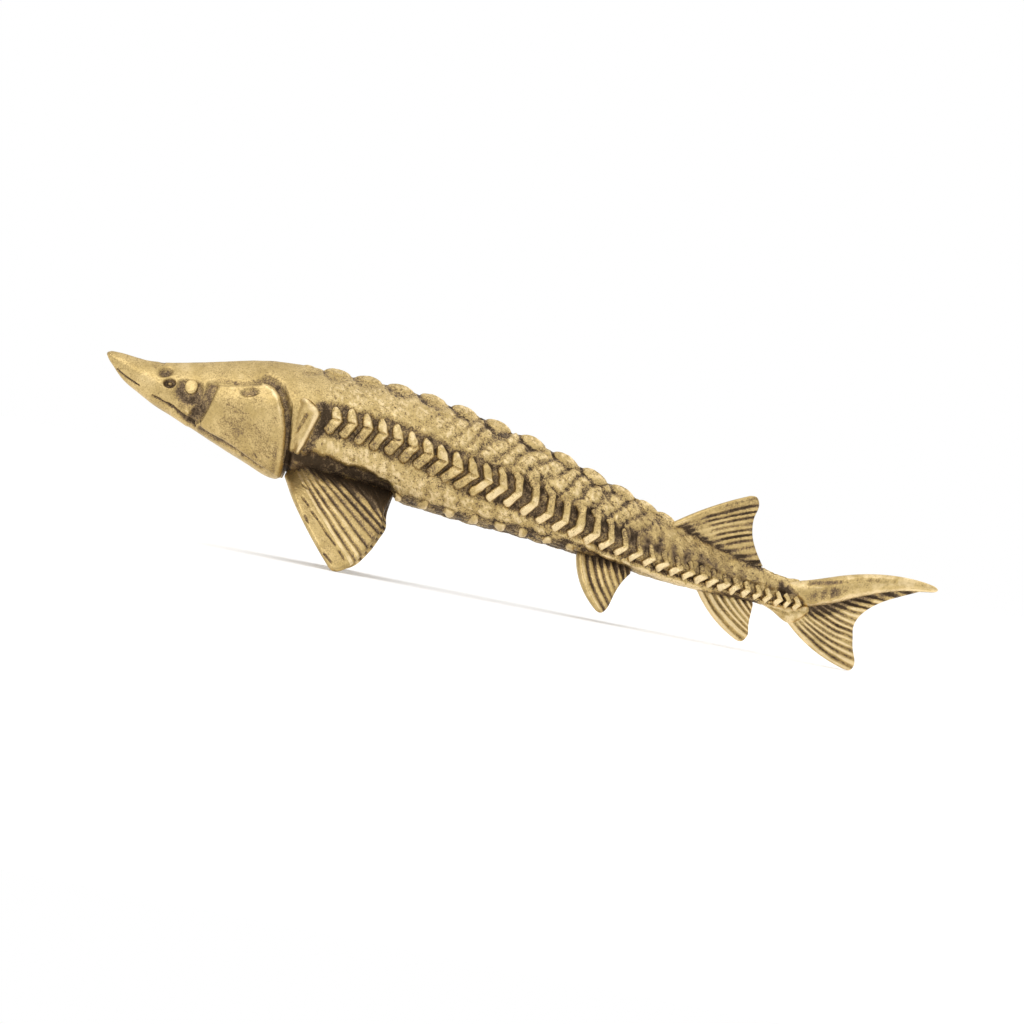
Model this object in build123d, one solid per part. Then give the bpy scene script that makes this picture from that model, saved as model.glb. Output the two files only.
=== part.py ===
from build123d import *
from math import cos, radians
import os

# Standing sturgeon in cast brass, in millimetres. The snout points to -X, the back is up, and the
# figure rests on z = 0 on the tips of its two pectoral fins and of its tail.

# Lengths along the fish
HEAD_LENGTH = 22.8
TRUNK_LENGTH = 61.2
TAIL_LENGTH = 16.0

# Heights above the table and half widths of the body
SNOUT_HEIGHT = 19.5
NAPE_HEIGHT = 22.6
BACK_END_HEIGHT = 9.25
CHEST_HEIGHT = 9.0
BELLY_END_HEIGHT = 5.5
SHOULDER_HALF_WIDTH = 5.5
BODY_END_HALF_WIDTH = 1.25

# Joints between the pieces
SOLDER_GAP = 0.05
SPIGOT_RADIUS = 3.2
SPIGOT_LENGTH = 5.5
PEG_RADIUS = 0.6
PEG_LENGTH = 1.6
TAIL_TANG_LENGTH = 4.0
TAIL_TANG_HEIGHT = 1.5
TAIL_TANG_THICKNESS = 1.0

# Plates, eyes and fins
GILL_PLATE_THICKNESS = 0.6
SHOULDER_PLATE_THICKNESS = 0.7
EYE_RADIUS = 0.7
EYE_SOCKET_DEPTH = 1.5
NOSTRIL_RADIUS = 0.35
NOSTRIL_DEPTH = 0.6
MOUTH_GROOVE_WIDTH = 0.35
MOUTH_GROOVE_DEPTH = 0.5
PAIRED_FIN_THICKNESS = 1.1
SINGLE_FIN_THICKNESS = 1.0
RAY_GROOVE_WIDTH = 0.36
RAY_GROOVE_DEPTH = 0.22
PECTORAL_SPLAY = 40.0
PELVIC_SPLAY = 28.0

# Scutes, the bony shields in rows along the trunk
DORSAL_SCUTES = 12
DORSAL_SCUTE_HALF_LENGTH = 1.7
DORSAL_SCUTE_HALF_WIDTH = 1.3
DORSAL_SCUTE_HEIGHT = 0.75
LATERAL_SCUTES = 35
LATERAL_SCUTE_WIDTH = 0.6
LATERAL_SCUTE_HEIGHT = 0.25
VENTRAL_SCUTES = 8
VENTRAL_SCUTE_HALF_LENGTH = 0.65
VENTRAL_SCUTE_HALF_WIDTH = 0.75
VENTRAL_SCUTE_HEIGHT = 0.3

# Places that follow from the sizes above
snout_x = -(HEAD_LENGTH + TRUNK_LENGTH + TAIL_LENGTH) / 2
gill_x = snout_x + HEAD_LENGTH
tail_x = gill_x + TRUNK_LENGTH
tip_x = tail_x + TAIL_LENGTH
spigot_z = (NAPE_HEIGHT + CHEST_HEIGHT) / 2


def head_x(share):
    """Place on the head: 0 at the snout tip, 1 at the gill edge."""
    return snout_x + HEAD_LENGTH * share


def trunk_x(share):
    """Place on the trunk: 0 at the gill edge, 1 at the tail root."""
    return gill_x + TRUNK_LENGTH * share


def lobe_x(share):
    """Place on the tail: 0 at its root, 1 at its upper tip."""
    return tail_x + TAIL_LENGTH * share


def smooth(points):
    """Curve z(x) of cubic pieces. The slope at an inner point is that of the line through its neighbours."""
    last = len(points) - 1
    slopes = []
    for i in range(last + 1):
        before = points[max(i - 1, 0)]
        after = points[min(i + 1, last)]
        slopes.append((after[1] - before[1]) / (after[0] - before[0]))

    def height(x):
        i = 0
        while i < last - 1 and x > points[i + 1][0]:
            i += 1
        (x0, z0), (x1, z1) = points[i], points[i + 1]
        step = x1 - x0
        u = (x - x0) / step
        return (
            z0 * (1 + 2 * u) * (1 - u) ** 2
            + z1 * u * u * (3 - 2 * u)
            + step * slopes[i] * u * (1 - u) ** 2
            - step * slopes[i + 1] * u * u * (1 - u)
        )

    return height


# Side view of the body: line of the back, line of the belly, and the lateral row where it is widest
back = smooth([
    (head_x(0), SNOUT_HEIGHT + 0.25),
    (head_x(0.18), 19.6),
    (head_x(0.35), 19.95),
    (head_x(0.61), 21.25),
    (head_x(0.83), 22.25),
    (gill_x, NAPE_HEIGHT),
    (trunk_x(0.12), 22.5),
    (trunk_x(0.28), 21.45),
    (trunk_x(0.44), 19.3),
    (trunk_x(0.61), 16.15),
    (trunk_x(0.74), 13.4),
    (trunk_x(0.85), 11.1),
    (trunk_x(0.94), 9.65),
    (tail_x, BACK_END_HEIGHT),
])
belly = smooth([
    (head_x(0), SNOUT_HEIGHT - 0.25),
    (head_x(0.09), 17.15),
    (head_x(0.26), 14.85),
    (head_x(0.53), 12.6),
    (head_x(0.79), 10.25),
    (head_x(0.94), 9.0),
    (gill_x, CHEST_HEIGHT),
    (trunk_x(0.12), 9.1),
    (trunk_x(0.28), 8.7),
    (trunk_x(0.44), 7.95),
    (trunk_x(0.57), 7.25),
    (trunk_x(0.70), 6.3),
    (trunk_x(0.82), 5.85),
    (tail_x, BELLY_END_HEIGHT),
])
row = smooth([
    (head_x(0), SNOUT_HEIGHT),
    (head_x(0.26), 17.0),
    (head_x(0.61), 16.0),
    (gill_x, 16.6),
    (trunk_x(0.08), 16.9),
    (trunk_x(0.23), 15.5),
    (trunk_x(0.39), 13.5),
    (trunk_x(0.54), 11.2),
    (trunk_x(0.66), 9.5),
    (trunk_x(0.80), 7.9),
    (trunk_x(0.93), 7.0),
    (tail_x, 6.6),
])
half_width = smooth([
    (head_x(0), 0.4),
    (head_x(0.18), 1.7),
    (head_x(0.44), 3.0),
    (head_x(0.79), 4.5),
    (trunk_x(0.05), 5.2),
    (trunk_x(0.18), SHOULDER_HALF_WIDTH),
    (trunk_x(0.35), 5.25),
    (trunk_x(0.51), 4.6),
    (trunk_x(0.67), 3.7),
    (trunk_x(0.84), 2.4),
    (tail_x, BODY_END_HALF_WIDTH),
])


def on_flank(x, share):
    """Point of the side view, a share of the way up from the belly to the back."""
    return x, belly(x) + share * (back(x) - belly(x))


def body_section(x, grow):
    """Cross-section with a ridged back, full flanks at the lateral row and a flat belly."""
    top = back(x) + grow
    low = belly(x) - grow
    wide = half_width(x) + grow
    mid = row(x)
    points = [
        (0, top),
        (0.60 * wide, mid + 0.66 * (top - mid)),
        (wide, mid),
        (0.88 * wide, low + 0.34 * (mid - low)),
        (0.50 * wide, low + 0.04 * (mid - low)),
        (0, low),
    ]
    right = Spline(*[(x, y, z) for y, z in points], tangents=[(0, 1, -0.5), (0, -1, 0)])
    left = Spline(*[(x, -y, z) for y, z in points], tangents=[(0, -1, -0.5), (0, 1, 0)])
    return Wire([right, left])


def head_shell(grow=0.0):
    shares = [0, 0.04, 0.11, 0.2, 0.3, 0.42, 0.56, 0.7, 0.85, 1]
    return Solid.make_loft([body_section(head_x(share), grow) for share in shares])


def trunk_shell(grow=0.0):
    return Solid.make_loft([body_section(trunk_x(i / 13), grow) for i in range(14)])


def side_face(points, y=0.0):
    """Straight-sided outline in the side view, given as (x, z)."""
    return Face(Wire.make_polygon([(x, y, z) for x, z in points]))


def slab(face, thickness):
    """Side-view face thickened evenly to both sides."""
    start = face.moved(Location((0, -thickness / 2, 0)))
    return Solid.extrude(start, Vector(0, thickness, 0))


def rod(radius, x, z, y_from, y_to):
    """Round rod along Y."""
    length = abs(y_to - y_from)
    middle = (x, (y_from + y_to) / 2, z)
    return Cylinder(radius, length, rotation=(90, 0, 0)).moved(Location(middle))


def mirrored(shape):
    return mirror(shape, about=Plane.XZ)


def both_sides(shapes):
    return list(shapes) + [mirrored(shape) for shape in shapes]


def between(a, b, share):
    return a[0] + (b[0] - a[0]) * share, a[1] + (b[1] - a[1]) * share


# Scutes
def shield(x, y, z, half_length, half_width, height):
    """Keeled shield: four slopes that fall from one peak to a lozenge sunk in the skin."""
    rim = [(x - half_length, y, z), (x, y - half_width, z), (x + half_length, y, z), (x, y + half_width, z)]
    peaks = [(x, y, z + height), (x, y, z - height)]
    faces = []
    for peak in peaks:
        for i in range(4):
            faces.append(Face(Wire.make_polygon([rim[i], rim[(i + 1) % 4], peak])))
    return Solid(Shell(faces))


def dorsal_scute(i):
    share = i / (DORSAL_SCUTES - 1)
    x = trunk_x(0.065 + 0.665 * (1.12 * share - 0.12 * share * share))
    return shield(
        x, 0, back(x) - 0.1, DORSAL_SCUTE_HALF_LENGTH, DORSAL_SCUTE_HALF_WIDTH, DORSAL_SCUTE_HEIGHT
    )


arm_up = smooth([(trunk_x(0), 1.2), (trunk_x(0.4), 1.9), (trunk_x(0.55), 2.0), (trunk_x(0.8), 0.9), (tail_x, 0.6)])
arm_down = smooth([(trunk_x(0), 1.6), (trunk_x(0.4), 1.6), (trunk_x(0.7), 1.0), (tail_x, 0.5)])


def lateral_scute(i):
    """Arrowhead that points to the tail, standing off the widest line of the left flank."""
    share = i / (LATERAL_SCUTES - 1)
    x = trunk_x(0.082 + 0.905 * (1.17 * share - 0.17 * share * share))
    z = row(x)
    up = arm_up(x)
    down = arm_down(x)
    outline = [
        (x - 0.6 * up, z + up),
        (x, z),
        (x - down, z - down),
        (x - down - LATERAL_SCUTE_WIDTH, z - down),
        (x - LATERAL_SCUTE_WIDTH, z),
        (x - 0.6 * up - LATERAL_SCUTE_WIDTH, z + up),
    ]
    inner = -half_width(x) + 0.9
    return Solid.extrude(side_face(outline, inner), Vector(0, -0.9 - LATERAL_SCUTE_HEIGHT, 0))


def ventral_scute(i):
    x = trunk_x(0.22 + 0.34 * i / (VENTRAL_SCUTES - 1))
    place = Location((x, -0.55 * half_width(x), belly(x) + 0.15))
    tile = Box(2 * VENTRAL_SCUTE_HALF_LENGTH, 2 * VENTRAL_SCUTE_HALF_WIDTH, 2 * VENTRAL_SCUTE_HEIGHT)
    return tile.moved(place)


# Plates on the flanks: an outline cut from a shell that lies on the skin, with a peg behind
def flank_plate(shell, outline, thickness, peg_x, peg_z):
    flank = Solid.extrude(outline, Vector(0, -20, 0))
    plate = (shell(SOLDER_GAP + thickness) & flank) - shell(SOLDER_GAP)
    skin = -half_width(peg_x)
    peg = rod(PEG_RADIUS, peg_x, peg_z, skin - SOLDER_GAP - thickness / 2, skin + PEG_LENGTH)
    return plate + peg


def peg_hole(peg_x, peg_z):
    skin = -half_width(peg_x)
    return rod(PEG_RADIUS + SOLDER_GAP, peg_x, peg_z, skin - 2, skin + PEG_LENGTH + SOLDER_GAP)


def smooth_face(*curves):
    """Side-view face whose border is a chain of curves, each a list of (x, z) points."""
    edges = []
    for points in curves:
        spots = [(x, 0, z) for x, z in points]
        edges.append(Spline(*spots) if len(spots) > 2 else Line(*spots))
    return Face(Wire(edges))


# Gill cover
gill_front_low = on_flank(head_x(0.545), 0.09)
gill_front_top = on_flank(head_x(0.6), 0.7)
gill_rear_top = on_flank(head_x(0.89), 0.756)
gill_rear_low = on_flank(head_x(0.975), 0.045)
gill_outline = smooth_face(
    [gill_front_low, on_flank(head_x(0.585), 0.39), gill_front_top],
    [gill_front_top, on_flank(head_x(0.72), 0.735), on_flank(head_x(0.84), 0.78), gill_rear_top],
    [gill_rear_top, on_flank(head_x(0.95), 0.607), on_flank(head_x(0.98), 0.332), gill_rear_low],
    [gill_rear_low, on_flank(head_x(0.9), 0.057), on_flank(head_x(0.72), 0.078), gill_front_low],
)
gill_peg = on_flank(head_x(0.78), 0.5)
left_gill_cover = flank_plate(head_shell, gill_outline, GILL_PLATE_THICKNESS, *gill_peg)

# Shoulder plate
plate_top = on_flank(trunk_x(0.012), 0.727)
plate_low = on_flank(trunk_x(0.022), 0.255)
plate_rear = [on_flank(trunk_x(share), up) for share, up in [(0.03, 0.712), (0.047, 0.6), (0.036, 0.402)]]
plate_front = [on_flank(trunk_x(share), up) for share, up in [(0.008, 0.306), (0.006, 0.513)]]
shoulder_outline = smooth_face([plate_top, *plate_rear, plate_low], [plate_low, *plate_front, plate_top])
shoulder_peg = on_flank(trunk_x(0.026), 0.513)
left_shoulder_plate = flank_plate(trunk_shell, shoulder_outline, SHOULDER_PLATE_THICKNESS, *shoulder_peg)

# Eye
eye_x, eye_z = on_flank(head_x(0.465), 0.62)
eye_skin = -half_width(eye_x) * 0.96
left_eye = fillet(
    rod(EYE_RADIUS, eye_x, eye_z, eye_skin - 0.25, eye_skin + EYE_SOCKET_DEPTH).faces().sort_by(Axis.Y)[0].edges(),
    0.25,
)
eye_socket = rod(EYE_RADIUS + SOLDER_GAP, eye_x, eye_z, eye_skin - 2, eye_skin + EYE_SOCKET_DEPTH + SOLDER_GAP)


# Fins: flat blades set in sawn slots. The inner part of each outline has straight sides, the slot follows it.
def blade(lead, trail, root, thickness):
    """Blade with a curved leading edge, a curved trailing edge and a straight-sided root."""
    return slab(smooth_face(lead, [lead[-1], trail[0]], trail, *zip([trail[-1]] + root, root + [lead[0]])), thickness)


def slot(lead, trail, root, thickness):
    """Room for the root of a blade and the skin beside it, one solder gap larger all round."""
    inside = side_face(trail[-2:] + root + lead[:2])
    return slab(offset(inside, SOLDER_GAP, kind=Kind.INTERSECTION).face(), thickness + 2 * SOLDER_GAP)


def ray_grooves(starts, ends, count, thickness):
    """Grooves between fin rays, on both faces, fanning evenly from one line to another."""
    grooves = []
    for i in range(count):
        share = i / (count - 1)
        x0, z0 = between(*starts, share)
        x1, z1 = between(*ends, share)
        reach = ((x1 - x0) ** 2 + (z1 - z0) ** 2) ** 0.5
        dx = RAY_GROOVE_WIDTH / 2 * (z1 - z0) / reach
        dz = -RAY_GROOVE_WIDTH / 2 * (x1 - x0) / reach
        strip = side_face([(x0, z0), (x1 + dx, z1 + dz), (x1 - dx, z1 - dz)], -thickness / 2)
        groove = Solid.extrude(strip, Vector(0, RAY_GROOVE_DEPTH, 0))
        grooves.append(groove)
        grooves.append(mirrored(groove))
    return grooves


def set_fin(lead, trail, root, rays, thickness):
    """Rayed blade and the slot that takes it."""
    fin = blade(lead, trail, root, thickness) - ray_grooves(*rays, thickness)
    return fin, slot(lead, trail, root, thickness)


def splayed(points, hinge_z, splay):
    """Side-view points let down into a leaning plane, so that they still cover the same side view."""
    return [(x, hinge_z + (z - hinge_z) / cos(radians(splay))) for x, z in points]


def leaning_fin(lead, trail, root, rays, hinge, splay):
    """Fin of a pair, leaning outwards about a line along the fish at hinge = (y, z)."""
    y, z = hinge
    starts, ends, count = rays
    lead, trail, root, starts, ends = [splayed(points, z, splay) for points in (lead, trail, root, starts, ends)]
    fin, room = set_fin(lead, trail, root, (starts, ends, count), PAIRED_FIN_THICKNESS)
    line = Axis((0, y, z), (1, 0, 0))
    return [shape.moved(Location((0, y, 0))).rotate(line, -splay) for shape in (fin, room)]


below_table = Box(200, 100, 10).moved(Location((0, 0, -5)))

# Pectoral fins, the front feet
left_pectoral_fin, pectoral_slot = leaning_fin(
    lead=[
        (trunk_x(0.012), 8.9),
        (trunk_x(0.052), 4.75),
        (trunk_x(0.085), 2.4),
        (trunk_x(0.118), 0.5),
        (trunk_x(0.136), -0.4),
    ],
    trail=[
        (trunk_x(0.152), -0.4),
        (trunk_x(0.183), 2.1),
        (trunk_x(0.206), 5.0),
        (trunk_x(0.206), 7.0),
        (trunk_x(0.215), 8.7),
    ],
    root=[(trunk_x(0.2), 11.4), (trunk_x(0.03), 11.4)],
    rays=(
        [(trunk_x(0.035), 8.2), (trunk_x(0.16), 8.6)],
        [(trunk_x(0.13), -0.6), (trunk_x(0.216), 7.0)],
        10,
    ),
    hinge=(-4.2, 9.8),
    splay=PECTORAL_SPLAY,
)
left_pectoral_fin = left_pectoral_fin - below_table

# Pelvic fins, which hang clear of the table
left_pelvic_fin, pelvic_slot = leaning_fin(
    lead=[(trunk_x(0.573), 6.5), (trunk_x(0.59), 4.0), (trunk_x(0.606), 2.4), (trunk_x(0.63), 1.2)],
    trail=[(trunk_x(0.642), 1.2), (trunk_x(0.658), 3.2), (trunk_x(0.672), 5.0), (trunk_x(0.688), 6.0)],
    root=[(trunk_x(0.675), 8.0), (trunk_x(0.59), 8.3)],
    rays=(
        [(trunk_x(0.6), 6.0), (trunk_x(0.665), 5.7)],
        [(trunk_x(0.626), 0.9), (trunk_x(0.668), 4.2)],
        5,
    ),
    hinge=(-2.3, 7.0),
    splay=PELVIC_SPLAY,
)

# Dorsal fin
dorsal_fin, dorsal_slot = set_fin(
    lead=[(trunk_x(0.738), 13.6), (trunk_x(0.771), 14.2), (trunk_x(0.836), 16.3), (trunk_x(0.885), 17.8)],
    trail=[(trunk_x(0.897), 17.2), (trunk_x(0.893), 15.0), (trunk_x(0.903), 12.5), (trunk_x(0.927), 10.2)],
    root=[(trunk_x(0.905), 9.0), (trunk_x(0.76), 11.6)],
    rays=(
        [(trunk_x(0.775), 13.6), (trunk_x(0.89), 11.1)],
        [(trunk_x(0.9), 17.4), (trunk_x(0.926), 11.6)],
        9,
    ),
    thickness=SINGLE_FIN_THICKNESS,
)

# Anal fin
anal_fin, anal_slot = set_fin(
    lead=[(trunk_x(0.81), 5.7), (trunk_x(0.837), 4.1), (trunk_x(0.87), 2.2), (trunk_x(0.903), 1.0)],
    trail=[(trunk_x(0.918), 1.3), (trunk_x(0.92), 2.6), (trunk_x(0.92), 4.2), (trunk_x(0.922), 5.4)],
    root=[(trunk_x(0.915), 6.9), (trunk_x(0.83), 7.1)],
    rays=(
        [(trunk_x(0.84), 5.0), (trunk_x(0.91), 5.0)],
        [(trunk_x(0.905), 0.7), (trunk_x(0.924), 4.0)],
        6,
    ),
    thickness=SINGLE_FIN_THICKNESS,
)

# Tail lobe: a smooth horn with a tang
lobe_top = smooth([
    (tail_x, BACK_END_HEIGHT),
    (lobe_x(0.25), 10.45),
    (lobe_x(0.44), 11.3),
    (lobe_x(0.63), 11.85),
    (lobe_x(0.78), 11.95),
    (lobe_x(0.91), 11.8),
    (tip_x, 11.4),
])
lobe_low = smooth([
    (tail_x, 6.3),
    (lobe_x(0.25), 7.1),
    (lobe_x(0.38), 8.0),
    (lobe_x(0.5), 9.0),
    (lobe_x(0.63), 9.6),
    (lobe_x(0.88), 10.45),
    (tip_x, 11.1),
])
lobe_half_width = smooth([(tail_x, BODY_END_HALF_WIDTH - 0.05), (lobe_x(0.5), 0.95), (lobe_x(0.9), 0.6), (tip_x, 0.25)])


def lobe_section(x):
    """Lens-shaped cross-section of the tail lobe."""
    top = (x, 0, lobe_top(x))
    low = (x, 0, lobe_low(x))
    mid = (top[2] + low[2]) / 2
    wide = lobe_half_width(x)
    right = Spline(top, (x, wide, mid), low, tangents=[(0, 1, 0), (0, -1, 0)])
    left = Spline(top, (x, -wide, mid), low, tangents=[(0, -1, 0), (0, 1, 0)])
    return Wire([right, left])


def tail_tang(gap):
    """Tang of the tail lobe, or the room for it when given a gap."""
    length = TAIL_TANG_LENGTH + gap
    bar = Box(length + 1, TAIL_TANG_THICKNESS + 2 * gap, TAIL_TANG_HEIGHT + 2 * gap)
    return bar.moved(Location((tail_x + (1 - length) / 2, 0, 7.8)))


lobe_shares = [0, 0.12, 0.25, 0.38, 0.52, 0.68, 0.84, 0.95, 1]
tail_lobe = Solid.make_loft([lobe_section(lobe_x(share)) for share in lobe_shares]) + tail_tang(0)

# Tail fin, the web under the lobe, with the rear foot
tail_fin, tail_slot = set_fin(
    lead=[
        (trunk_x(0.938), 5.3),
        (trunk_x(0.975), 4.6),
        (lobe_x(0.12), 2.4),
        (lobe_x(0.31), 0.8),
        (lobe_x(0.46), -0.2),
    ],
    trail=[
        (lobe_x(0.52), -0.2),
        (lobe_x(0.48), 2.6),
        (lobe_x(0.45), 5.0),
        (lobe_x(0.53), 7.4),
        (lobe_x(0.66), 9.0),
        (lobe_x(0.86), 10.3),
    ],
    root=[
        (lobe_x(0.85), 10.8),
        (lobe_x(0.63), 10.2),
        (lobe_x(0.48), 9.4),
        (lobe_x(0.25), 7.7),
        (lobe_x(0.04), 6.6),
        (trunk_x(0.955), 6.6),
    ],
    rays=(
        [(tail_x, 4.0), (lobe_x(0.66), 9.3)],
        [(lobe_x(0.54), -0.3), (lobe_x(0.88), 9.9)],
        12,
    ),
    thickness=SINGLE_FIN_THICKNESS,
)
tail_fin = tail_fin - below_table
tail_lobe = tail_lobe - tail_slot

# Head with its spigot, the seats of its plates and eyes, the nostrils and the mouth line
spigot_end = gill_x + SPIGOT_LENGTH
spigot = Cylinder(SPIGOT_RADIUS, SPIGOT_LENGTH + 1, rotation=(0, 90, 0))
spigot = spigot.moved(Location((spigot_end - (SPIGOT_LENGTH + 1) / 2, 0, spigot_z)))
nostrils = [
    rod(NOSTRIL_RADIUS, x, z, -half_width(x) * share - 2, -half_width(x) * share + NOSTRIL_DEPTH)
    for (x, z), share in [(on_flank(head_x(0.32), 0.79), 0.75), (on_flank(head_x(0.35), 0.576), 0.95)]
]
mouth_from = on_flank(head_x(0.28), 0.18)
mouth_to = on_flank(head_x(0.5), 0.083)
mouth_line = [
    mouth_from,
    mouth_to,
    (mouth_to[0], mouth_to[1] - MOUTH_GROOVE_WIDTH),
    (mouth_from[0], mouth_from[1] - MOUTH_GROOVE_WIDTH),
]
mouth_skin = -half_width(between(mouth_from, mouth_to, 0.5)[0])
mouth = Solid.extrude(side_face(mouth_line, mouth_skin - 2), Vector(0, 2.3 + MOUTH_GROOVE_DEPTH, 0))
head = head_shell() + spigot - both_sides([peg_hole(*gill_peg), eye_socket, mouth] + nostrils)

# Trunk with its scutes, its socket and its slots
left_scutes = [lateral_scute(i) for i in range(LATERAL_SCUTES)]
left_scutes += [ventral_scute(i) for i in range(VENTRAL_SCUTES)]
scutes = both_sides(left_scutes) + [dorsal_scute(i) for i in range(DORSAL_SCUTES)]
socket = Cylinder(SPIGOT_RADIUS + SOLDER_GAP, SPIGOT_LENGTH + SOLDER_GAP + 1, rotation=(0, 90, 0))
socket = socket.moved(Location((spigot_end + SOLDER_GAP - (SPIGOT_LENGTH + SOLDER_GAP + 1) / 2, 0, spigot_z)))
rooms = [socket, dorsal_slot, anal_slot, tail_slot, tail_tang(SOLDER_GAP)]
rooms += both_sides([pectoral_slot, pelvic_slot, peg_hole(*shoulder_peg)])
trunk = trunk_shell().fuse(*scutes) - rooms

pieces = {
    "trunk": trunk,
    "head": head,
    "dorsal_fin": dorsal_fin,
    "anal_fin": anal_fin,
    "tail_lobe": tail_lobe,
    "tail_fin": tail_fin,
}
paired = {
    "gill_cover": left_gill_cover,
    "shoulder_plate": left_shoulder_plate,
    "eye": left_eye,
    "pectoral_fin": left_pectoral_fin,
    "pelvic_fin": left_pelvic_fin,
}
for name, shape in paired.items():
    pieces["left_" + name] = shape
    pieces["right_" + name] = mirrored(shape)

os.makedirs("parts", exist_ok=True)
for name, shape in pieces.items():
    export_step(shape, "parts/" + name + ".step")
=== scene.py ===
import bpy
import bmesh
import numpy as np
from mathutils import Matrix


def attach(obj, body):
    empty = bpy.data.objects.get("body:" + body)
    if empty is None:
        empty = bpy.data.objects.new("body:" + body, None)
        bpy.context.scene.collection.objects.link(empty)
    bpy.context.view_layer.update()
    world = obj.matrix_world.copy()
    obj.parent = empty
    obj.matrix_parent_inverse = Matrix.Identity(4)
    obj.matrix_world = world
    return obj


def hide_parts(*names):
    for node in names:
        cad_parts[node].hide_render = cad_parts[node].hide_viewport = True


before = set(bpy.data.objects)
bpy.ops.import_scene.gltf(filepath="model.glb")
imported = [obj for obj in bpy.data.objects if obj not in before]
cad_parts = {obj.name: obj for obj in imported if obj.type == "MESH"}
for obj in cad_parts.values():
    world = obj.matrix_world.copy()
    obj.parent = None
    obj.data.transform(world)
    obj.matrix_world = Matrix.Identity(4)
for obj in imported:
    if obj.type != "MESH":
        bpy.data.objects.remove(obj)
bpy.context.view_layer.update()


# Trunk: the body of a small sturgeon from the gill edge to the tail root, one solid brass casting.
# Its skin is as cast: slanting rows of scales above, low lumps below and dark furrows between them, a sunk
# channel for the lateral scutes, and a hollow above each pectoral fin. The head plugs into its front end.
def curve(points):
    """Natural cubic spline through (x, value) points: the piecewise cubic with continuous curvature."""
    xs, ys = np.array(points, float).T
    h = np.diff(xs)
    n = len(xs)
    system = np.eye(n)
    right = np.zeros(n)
    inner = np.arange(1, n - 1)
    system[inner, inner - 1] = h[:-1]
    system[inner, inner] = 2 * (h[:-1] + h[1:])
    system[inner, inner + 1] = h[1:]
    right[inner] = 6 * np.diff(np.diff(ys) / h)
    bend = np.linalg.solve(system, right)

    def value(x):
        x = np.clip(x, xs[0], xs[-1])
        i = np.clip(np.searchsorted(xs, x) - 1, 0, n - 2)
        a, b, w = xs[i + 1] - x, x - xs[i], h[i]
        return ((bend[i] * a**3 + bend[i + 1] * b**3) / (6 * w)
                + (ys[i] / w - bend[i] * w / 6) * a + (ys[i + 1] / w - bend[i + 1] * w / 6) * b)

    return value


# heights of the back, the belly and the lateral row, and the half width of the body, in mm along its length
SNOUT_TIP, TRUNK_FRONT, TRUNK_END = -50.0, -27.2, 34.0
back = curve([(-50, 19.8), (-48, 19.85), (-46, 19.62), (-44, 19.65), (-42, 19.95), (-40, 20.35),
              (-37, 21.05), (-34, 21.75), (-31, 22.3), (-27.2, 22.55), (-21.7, 22.4), (-18, 22.3),
              (-14, 21.95), (-9.8, 21.35), (-5.8, 20.55), (-1.5, 19.6), (3, 18.35), (6.8, 17.1),
              (10.3, 15.95), (13.6, 14.85), (17, 13.6), (21, 12.3), (25, 11.1), (29.5, 9.85),
              (31.5, 9.35), (34, 9.25)])
belly = curve([(-50, 19.2), (-49, 18.2), (-48, 17.2), (-46, 15.9), (-44, 14.87), (-42, 14.05),
               (-38, 12.55), (-34, 10.92), (-31, 9.75), (-29, 9.05), (-27, 8.98), (-20, 9.1),
               (-13, 8.95), (-6, 8.3), (0, 7.95), (7, 7.3), (12, 6.8), (15, 6.4), (19, 6.0),
               (22, 5.9), (27, 5.75), (34, 5.5)])
row = curve([(-50, 19.5), (-46, 17.9), (-42, 16.6), (-36, 16.0), (-29, 16.6), (-22, 17.0),
             (-15, 16.2), (-9.4, 14.8), (-3.6, 13.5), (0.1, 12.7), (4, 11.2), (7.8, 10.3),
             (13.4, 9.1), (18.3, 8.2), (23.1, 7.55), (28, 7.0), (34, 6.5)])
half_width = curve([(-50, 0.5), (-48, 1.15), (-46, 1.7), (-43, 2.35), (-40, 3.0), (-36, 3.8),
                    (-32, 4.5), (-27.2, 5.05), (-22, 5.35), (-16, 5.5), (-6, 5.25), (4, 4.6),
                    (14, 3.7), (24, 2.4), (30, 1.65), (34, 1.25)])
UPPER_POWER, UPPER_ROUND = 1.8, 0.76
LOWER_POWER, LOWER_ROUND = 3.5, 0.42


def flank(x, z):
    """Half width of the body at height z. With f the share of the way from the lateral row up to the back,
    or down to the belly, it is the full half width times (1 - f ** power) ** round."""
    top, low, mid = back(x), belly(x), row(x)
    up = np.clip((z - mid) / (top - mid), 0, 1)
    down = np.clip((mid - z) / (mid - low), 0, 1)
    shape = np.where(z > mid, (1 - up**UPPER_POWER) ** UPPER_ROUND, (1 - down**LOWER_POWER) ** LOWER_ROUND)
    return half_width(x) * shape


def body_loop(x, upper, lower):
    """Closed loops of the body section at stations x, from the back down the left flank to the belly and up
    the right one. Each flank is run through by an angle whose sine squared is f ** power."""
    a = np.linspace(np.pi / 2, 0, upper)
    b = np.linspace(0, np.pi / 2, lower + 1)[1:]
    x = x[:, None]
    y_up = np.cos(a) ** (2 * UPPER_ROUND)
    z_up = np.sin(a) ** (2 / UPPER_POWER)
    y_low = np.cos(b) ** (2 * LOWER_ROUND)
    z_low = np.sin(b) ** (2 / LOWER_POWER)
    y = half_width(x) * np.concatenate([y_up, y_low])
    z = np.concatenate([row(x) + (back(x) - row(x)) * z_up, row(x) - (row(x) - belly(x)) * z_low], axis=1)
    y = np.concatenate([-y, y[:, -2:0:-1]], axis=1)
    z = np.concatenate([z, z[:, -2:0:-1]], axis=1)
    return np.stack([np.broadcast_to(x, y.shape), y, z], axis=2)


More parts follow.
